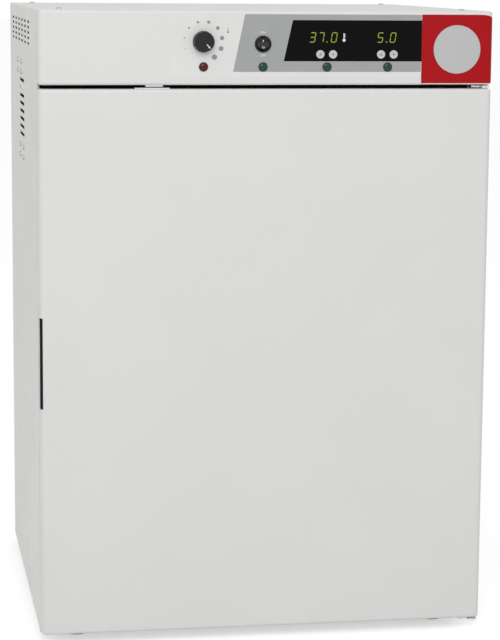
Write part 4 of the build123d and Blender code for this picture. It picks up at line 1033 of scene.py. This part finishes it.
@dataclass
class LampLenses:
    """Domed lenses with a moulded step and a narrow collar."""

    front: float = -0.5
    places: Sequence[Pair] = ((-91.2, 798.8), (-8.4, 798.8), (81.3, 798.8), (167.0, 798.8))
    radius: float = 6.1
    proud: float = 2.0
    stem: Pair = (4.6, 12.0)
    rim_height: float = 0.5
    rim_bevel: float = 0.35
    rim_top: float = 0.75
    dome_inset: float = 0.7
    dome_part: Pair = (0.35, 0.6)
    crown_part: float = 0.95
    dome_turns: Sequence[float] = (0.0, 0.2, 0.45, 0.7, 0.95, 1.2, 1.4)
    bezel_radii: Pair = (6.35, 5.4)
    bezel_proud: float = 1.0
    bezel_thickness: float = 0.4
    bezel_round: float = 0.1

    def dress(self) -> None:
        """Build the red lens and the three green ones, each in its narrow black bezel."""
        stem_radius, stem_depth = self.stem
        base, rise = self.dome_part
        for number, (across, height) in enumerate(self.places):
            finish = "red_lens" if number == 0 else "lamp_lens"
            place = facing(across, self.front, height, TOWARDS_VIEWER)
            reach = self.radius - self.dome_inset
            dome = [(reach * math.cos(turn), self.proud * (base + rise * math.sin(turn)))
                    for turn in self.dome_turns]
            rim = [(stem_radius, -stem_depth), (stem_radius, 0), (self.radius, 0)]
            rim += [(self.radius, self.rim_height), (self.radius - self.rim_bevel, self.rim_top)]
            lens = lathe([*rim, *dome, (0, self.proud * self.crown_part)], place, 48)
            settle(lens, f"lamp_lens_{number + 1}", finish, Body.CABINET, 50)
            rings = [circle(across, height, radius) for radius in self.bezel_radii]
            bezel = plate(rings, self.front - self.bezel_proud, self.bezel_thickness, self.bezel_round)
            settle(bezel, f"lamp_bezel_{number + 1}", "black_plastic", Body.CABINET)
        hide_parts("indicator_lamps")


@dataclass
class SwitchMarks:
    """The marks of the power switch: words on the band, line and ring on the rocker."""

    centre: Pair = (-8.7, 830.1)
    word_height: float = 3.4
    word_drop: float = 15.6
    word_front: float = -0.6
    letter_part: float = 1.4
    letter_depth: float = 0.03
    mark_rise: float = 4.4
    line_half: Pair = (0.45, 1.6)
    line_corner: float = 0.35
    ring_radii: Pair = (1.7, 1.0)
    mark_front: float = -0.06
    mark_thickness: float = 0.1
    search_front: float = -20.0

    def word(self, text: str, across: float, height: float) -> bpy.types.Mesh:
        """Set one short word on the panel.

        Args:
            text: the word.
            across: its middle.
            height: its middle.

        Returns:
            The word's mesh.
        """
        curve = bpy.data.curves.new(text, "FONT")
        curve.body = text
        curve.size = self.word_height * self.letter_part * MM
        curve.align_x = "CENTER"
        curve.align_y = "CENTER"
        curve.extrude = self.letter_depth * MM
        holder = bpy.data.objects.new(text, curve)
        bpy.context.scene.collection.objects.link(holder)
        bpy.context.view_layer.update()
        mesh = bpy.data.meshes.new_from_object(holder.evaluated_get(bpy.context.evaluated_depsgraph_get()))
        bpy.data.objects.remove(holder)
        place = Matrix.Translation(spot(across, self.word_front, height))
        mesh.transform(place @ Matrix.Rotation(math.pi / 2, 4, "X"))
        return mesh

    def dress(self) -> None:
        """Print the words, and mark the rocker."""
        across, height = self.centre
        for text, way in (("ON", 1), ("OFF", -1)):
            mesh = self.word(text, across, height + way * self.word_drop)
            settle(mesh, f"switch_word_{text.lower()}", "white_ink", Body.CABINET)
        self.rocker_marks()

    def rocker_marks(self) -> None:
        """Lay the line and the ring on the rocker's two halves."""
        tree = surface_of("power_rocker")
        half, tall = self.line_half
        line = [rounded((-half, -tall), (half, tall), self.line_corner, 3)]
        ring = [circle(0, 0, radius, 28) for radius in self.ring_radii]
        for name, loops, way in (("line", line, 1), ("ring", ring, -1)):
            start = spot(self.centre[0], self.search_front, self.centre[1] + way * self.mark_rise)
            hit, normal, _, _ = tree.ray_cast(start, -TOWARDS_VIEWER)
            turn = TOWARDS_VIEWER.rotation_difference(normal).to_matrix().to_4x4()
            mesh = plate(loops, self.mark_front, self.mark_thickness)
            mesh.transform(Matrix.Translation(hit) @ turn @ Matrix.Translation(-spot(0, 0, 0)))
            settle(mesh, f"rocker_{name}", "white_ink", Body.ROCKER)


@dataclass
class ButtonMarks:
    """Arrowheads printed on the four buttons."""

    front: float = -2.3
    height: float = 816.1
    half_width: float = 2.3
    foot_drop: float = 1.4
    tip_rise: float = 2.4
    ink: float = 0.06
    buttons: Sequence[tuple[Body, float, int]] = (
        (Body.BUTTON_TEMP_UP, 71.7, 1),
        (Body.BUTTON_TEMP_DOWN, 89.5, -1),
        (Body.BUTTON_CO2_UP, 157.4, 1),
        (Body.BUTTON_CO2_DOWN, 175.3, -1),
    )

    def dress(self) -> None:
        """Print one arrowhead on each button."""
        for body, across, way in self.buttons:
            low, tip = self.height - way * self.foot_drop, self.height + way * self.tip_rise
            outline = [(across - self.half_width, low), (across + self.half_width, low), (across, tip)]
            mesh = plate([outline], self.front - self.ink, self.ink)
            settle(mesh, f"arrow_{body.value}", "dial_ink", body)


@dataclass
class KnobPointer:
    """White pointer printed on the thermostat knob's face."""

    centre: Pair = (-91.5, 833.2)
    front: float = -14.0
    ink: float = 0.04
    turn: float = -49.0
    reach: Pair = (4.5, 12.3)
    half_width: float = 0.6
    tip_length: float = 3
    tip_spread: float = 2.6

    def dress(self) -> None:
        """Lay the pointer along its radius, with a broader tip."""
        along = Vector((math.cos(math.radians(self.turn)), math.sin(math.radians(self.turn))))
        aside = Vector((-along.y, along.x)) * self.half_width
        middle = Vector(self.centre)
        start, end = (middle + along * reach for reach in self.reach)
        neck = end - along * self.tip_length
        spread = aside * self.tip_spread
        corners = (
            start - aside, neck - aside, neck - spread, end, neck + spread, neck + aside, start + aside,
        )
        mesh = plate([[tuple(corner) for corner in corners]], self.front - self.ink, self.ink)
        settle(mesh, "knob_pointer", "white_ink", Body.KNOB)


@dataclass
class GapShadeStrip:
    """Black strip behind the gap between the panel and the door: painted shade, standing where the gap has
    only shade, so that the gap renders dark.
    """

    left: float = -314.0
    right: float = 288.0
    low: float = 763.0
    high: float = 778.0
    front: float = 22.4
    thickness: float = 2.6
    corner: float = 1.0
    round_over: float = 0.4

    def dress(self) -> None:
        """Build the strip of painted shade."""
        outline = rounded((self.left, self.low), (self.right, self.high), self.corner, 3)
        # painted shade: a black strip put where the gap has only shade
        mesh = plate([outline], self.front, self.thickness, self.round_over)
        settle(mesh, "gap_shade_strip", "gap_black", Body.CABINET)


@dataclass(frozen=True)
class Strip:
    """Section of a soft seal: an arch on a flat foot, as margins round the chamber and depths."""

    margin: float
    depth: float
    reach: float
    rise: float
    start: float
    sweep: float
    steps: int
    foot: Loop

    def profile(self) -> list[Pair]:
        """List the section's points, the arch first.

        Returns:
            The points as (margin, depth).
        """
        turns = [math.pi * (self.start + self.sweep * step / self.steps) for step in range(self.steps + 1)]
        arch = [(self.margin + self.reach * math.cos(turn), self.depth + self.rise * math.sin(turn))
                for turn in turns]
        return [*arch, *self.foot]


@dataclass
class Seals:
    """Extruded soft seals around the chamber's mouth, with lips and a hollow bulb."""

    middle: float = 385.0
    half_width: float = 254.0
    half_height: float = 305.0
    gasket_corner: float = 14
    lip_corner: float = 9
    gasket: Strip = Strip(
        38.2, 23.0, 4.3, 1.65, 1.12, -1.24, 14, ((44.2, 21.4), (44.4, 20.05), (32.2, 20.05), (32.4, 21.4))
    )
    lip: Strip = Strip(
        4.5, 57.4, 1.9, -1.9, -0.1, 1.2, 12, ((2.2, 59.4), (2.2, 60.75), (6.8, 60.75), (6.8, 59.4))
    )

    def frame_band(self, profile: Loop, corner: float, steps: int = 10) -> bpy.types.Mesh:
        """Sweep a closed profile around the chamber's mouth.

        Args:
            profile: (margin outside the chamber's section, depth) points.
            corner: corner radius of the outline at margin zero.
            steps: facets to each corner.

        Returns:
            The swept mesh.
        """
        shape = bmesh.new()
        rings = []
        for quarter in range(4):
            sign_x = 1 if quarter in (0, 3) else -1
            sign_z = 1 if quarter in (0, 1) else -1
            centre = (sign_x * (self.half_width - corner), self.middle + sign_z * (self.half_height - corner))
            for step in range(steps + 1):
                turn = math.pi / 2 * (quarter + step / steps)
                ring = []
                for margin, depth in profile:
                    reach = corner + margin
                    place = (centre[0] + reach * math.cos(turn), depth, centre[1] + reach * math.sin(turn))
                    ring.append(shape.verts.new(spot(*place)))
                rings.append(ring)
        for one, two in zip(rings, rings[1:] + rings[:1]):
            for number in range(len(profile)):
                after = (number + 1) % len(profile)
                shape.faces.new((one[number], one[after], two[after], two[number]))
        return from_bmesh(shape)

    def dress(self) -> None:
        """Build the door's gasket and the glass door's seal."""
        outer = self.frame_band(self.gasket.profile(), self.gasket_corner)
        door = settle(outer, "door_gasket_bellows", "seal_rubber", Body.DOOR, 50)
        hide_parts("door_gasket")
        inner = self.frame_band(self.lip.profile(), self.lip_corner)
        glass = settle(inner, "glass_door_seal", "seal_rubber", Body.CABINET, 50)
        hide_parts("glass_seal")


@dataclass
class Studio:
    """White floor, soft light and the camera at the photograph's angle."""

    camera_place: Vector = field(default_factory=lambda: Vector((-534.45, -2997.08, 928.17)))
    yaw: float = 9.670
    pitch: float = 8.9975
    roll: float = 0.439
    lens: float = 123.77
    floor_reach: float = 40.0
    target: Vector = field(default_factory=lambda: Vector((0, 0, 0.45)))
    sky: float = 0.56
    floor_white: float = 0.52

    def camera(self) -> None:
        """Place the camera."""
        yaw, pitch, roll = (math.radians(turn) for turn in (self.yaw, self.pitch, self.roll))
        ahead = Vector((math.sin(yaw) * math.cos(pitch), math.cos(yaw) * math.cos(pitch), -math.sin(pitch)))
        level_right = Vector((math.cos(yaw), -math.sin(yaw), 0))
        level_up = level_right.cross(ahead)
        right = math.cos(roll) * level_right + math.sin(roll) * level_up
        above = -math.sin(roll) * level_right + math.cos(roll) * level_up
        data = bpy.data.cameras.new("camera")
        data.sensor_fit = "AUTO"
        data.sensor_width = 36.0
        data.lens = self.lens
        data.clip_end = 100
        camera = bpy.data.objects.new("camera", data)
        turn = Matrix((right, above, -ahead)).transposed().to_4x4()
        camera.matrix_world = Matrix.Translation(spot(*self.camera_place)) @ turn
        bpy.context.scene.collection.objects.link(camera)
        bpy.context.scene.camera = camera

    def seen(self, tree: bpy.types.NodeTree) -> bpy.types.NodeSocket:
        """Tell the rays that see the white background from those that light the object.

        Args:
            tree: the material's or the world's node tree.

        Returns:
            A value that is 1 on camera, glossy and transmission rays.
        """
        path = tree.nodes.new("ShaderNodeLightPath")
        value = path.outputs["Is Camera Ray"]
        for ray in ("Is Glossy Ray", "Is Transmission Ray"):
            highest = tree.nodes.new("ShaderNodeMath")
            highest.operation = "MAXIMUM"
            tree.links.new(value, highest.inputs[0])
            tree.links.new(path.outputs[ray], highest.inputs[1])
            value = highest.outputs[0]
        return value

    def world(self) -> None:
        """Surround the object with even white light."""
        world = bpy.data.worlds.new("studio")
        bpy.context.scene.world = world
        world.use_nodes = True
        tree = world.node_tree
        background = tree.nodes["Background"]
        background.inputs["Color"].default_value = (1, 1, 1, 1)
        ranged = tree.nodes.new("ShaderNodeMapRange")
        ranged.inputs["To Min"].default_value = self.sky
        ranged.inputs["To Max"].default_value = 1.0
        tree.links.new(self.seen(tree), ranged.inputs["Value"])
        tree.links.new(ranged.outputs["Result"], background.inputs["Strength"])

    def floor(self) -> None:
        """Lay a plain pale floor that keeps the object's shadow."""
        mesh = bpy.data.meshes.new("floor")
        reach = self.floor_reach
        corners = [(-reach, -reach, 0), (reach, -reach, 0), (reach, reach, 0), (-reach, reach, 0)]
        mesh.from_pydata(corners, [], [(0, 1, 2, 3)])
        ground = bpy.data.objects.new("floor", mesh)
        bpy.context.scene.collection.objects.link(ground)
        material = bpy.data.materials.new("floor")
        material.use_nodes = True
        tree = material.node_tree
        tree.nodes.clear()
        output = tree.nodes.new("ShaderNodeOutputMaterial")
        both = tree.nodes.new("ShaderNodeAddShader")
        matte = tree.nodes.new("ShaderNodeBsdfDiffuse")
        matte.inputs["Color"].default_value = (0.80, 0.80, 0.80, 1)
        glow = tree.nodes.new("ShaderNodeEmission")
        ranged = tree.nodes.new("ShaderNodeMapRange")
        ranged.inputs["To Max"].default_value = self.floor_white
        tree.links.new(self.seen(tree), ranged.inputs["Value"])
        tree.links.new(ranged.outputs["Result"], glow.inputs["Strength"])
        tree.links.new(matte.outputs["BSDF"], both.inputs[0])
        tree.links.new(glow.outputs["Emission"], both.inputs[1])
        tree.links.new(both.outputs["Shader"], output.inputs["Surface"])
        mesh.materials.append(material)

    def softbox(self, name: str, place: Vector, size: float, power: float) -> None:
        """Hang one square area lamp.

        Args:
            name: the lamp's name.
            place: where it hangs, in metres.
            size: its side in metres.
            power: its power in watts.
        """
        data = bpy.data.lights.new(name, "AREA")
        data.size = size
        data.energy = power
        lamp = bpy.data.objects.new(name, data)
        turn = (place - self.target).to_track_quat("Z", "Y").to_matrix().to_4x4()
        lamp.matrix_world = Matrix.Translation(place) @ turn
        lamp.visible_camera = False
        bpy.context.scene.collection.objects.link(lamp)

    def set_up(self) -> None:
        """Build the whole studio."""
        bpy.context.scene.view_settings.view_transform = "Standard"
        self.camera()
        self.world()
        self.floor()
        self.softbox("front_softbox", Vector((-0.6, -3.4, 2.4)), 2.4, 52)
        self.softbox("left_softbox", Vector((-3.2, -1.2, 2.2)), 2.0, 4)


def main() -> None:
    """Dress the incubator, part by part, and set up the studio."""
    logging.basicConfig(level=logging.INFO, format="%(name)s: %(message)s")
    Studio().set_up()
    for part in (
        PaintedCase(), CaseScrews(), PanelPrints(), RedBadge(), DigitDisplays(), LampLenses(),
        SwitchMarks(), ButtonMarks(), KnobPointer(), GapShadeStrip(), Seals(),
    ):
        part.dress()


if __name__ == "__main__":
    main()
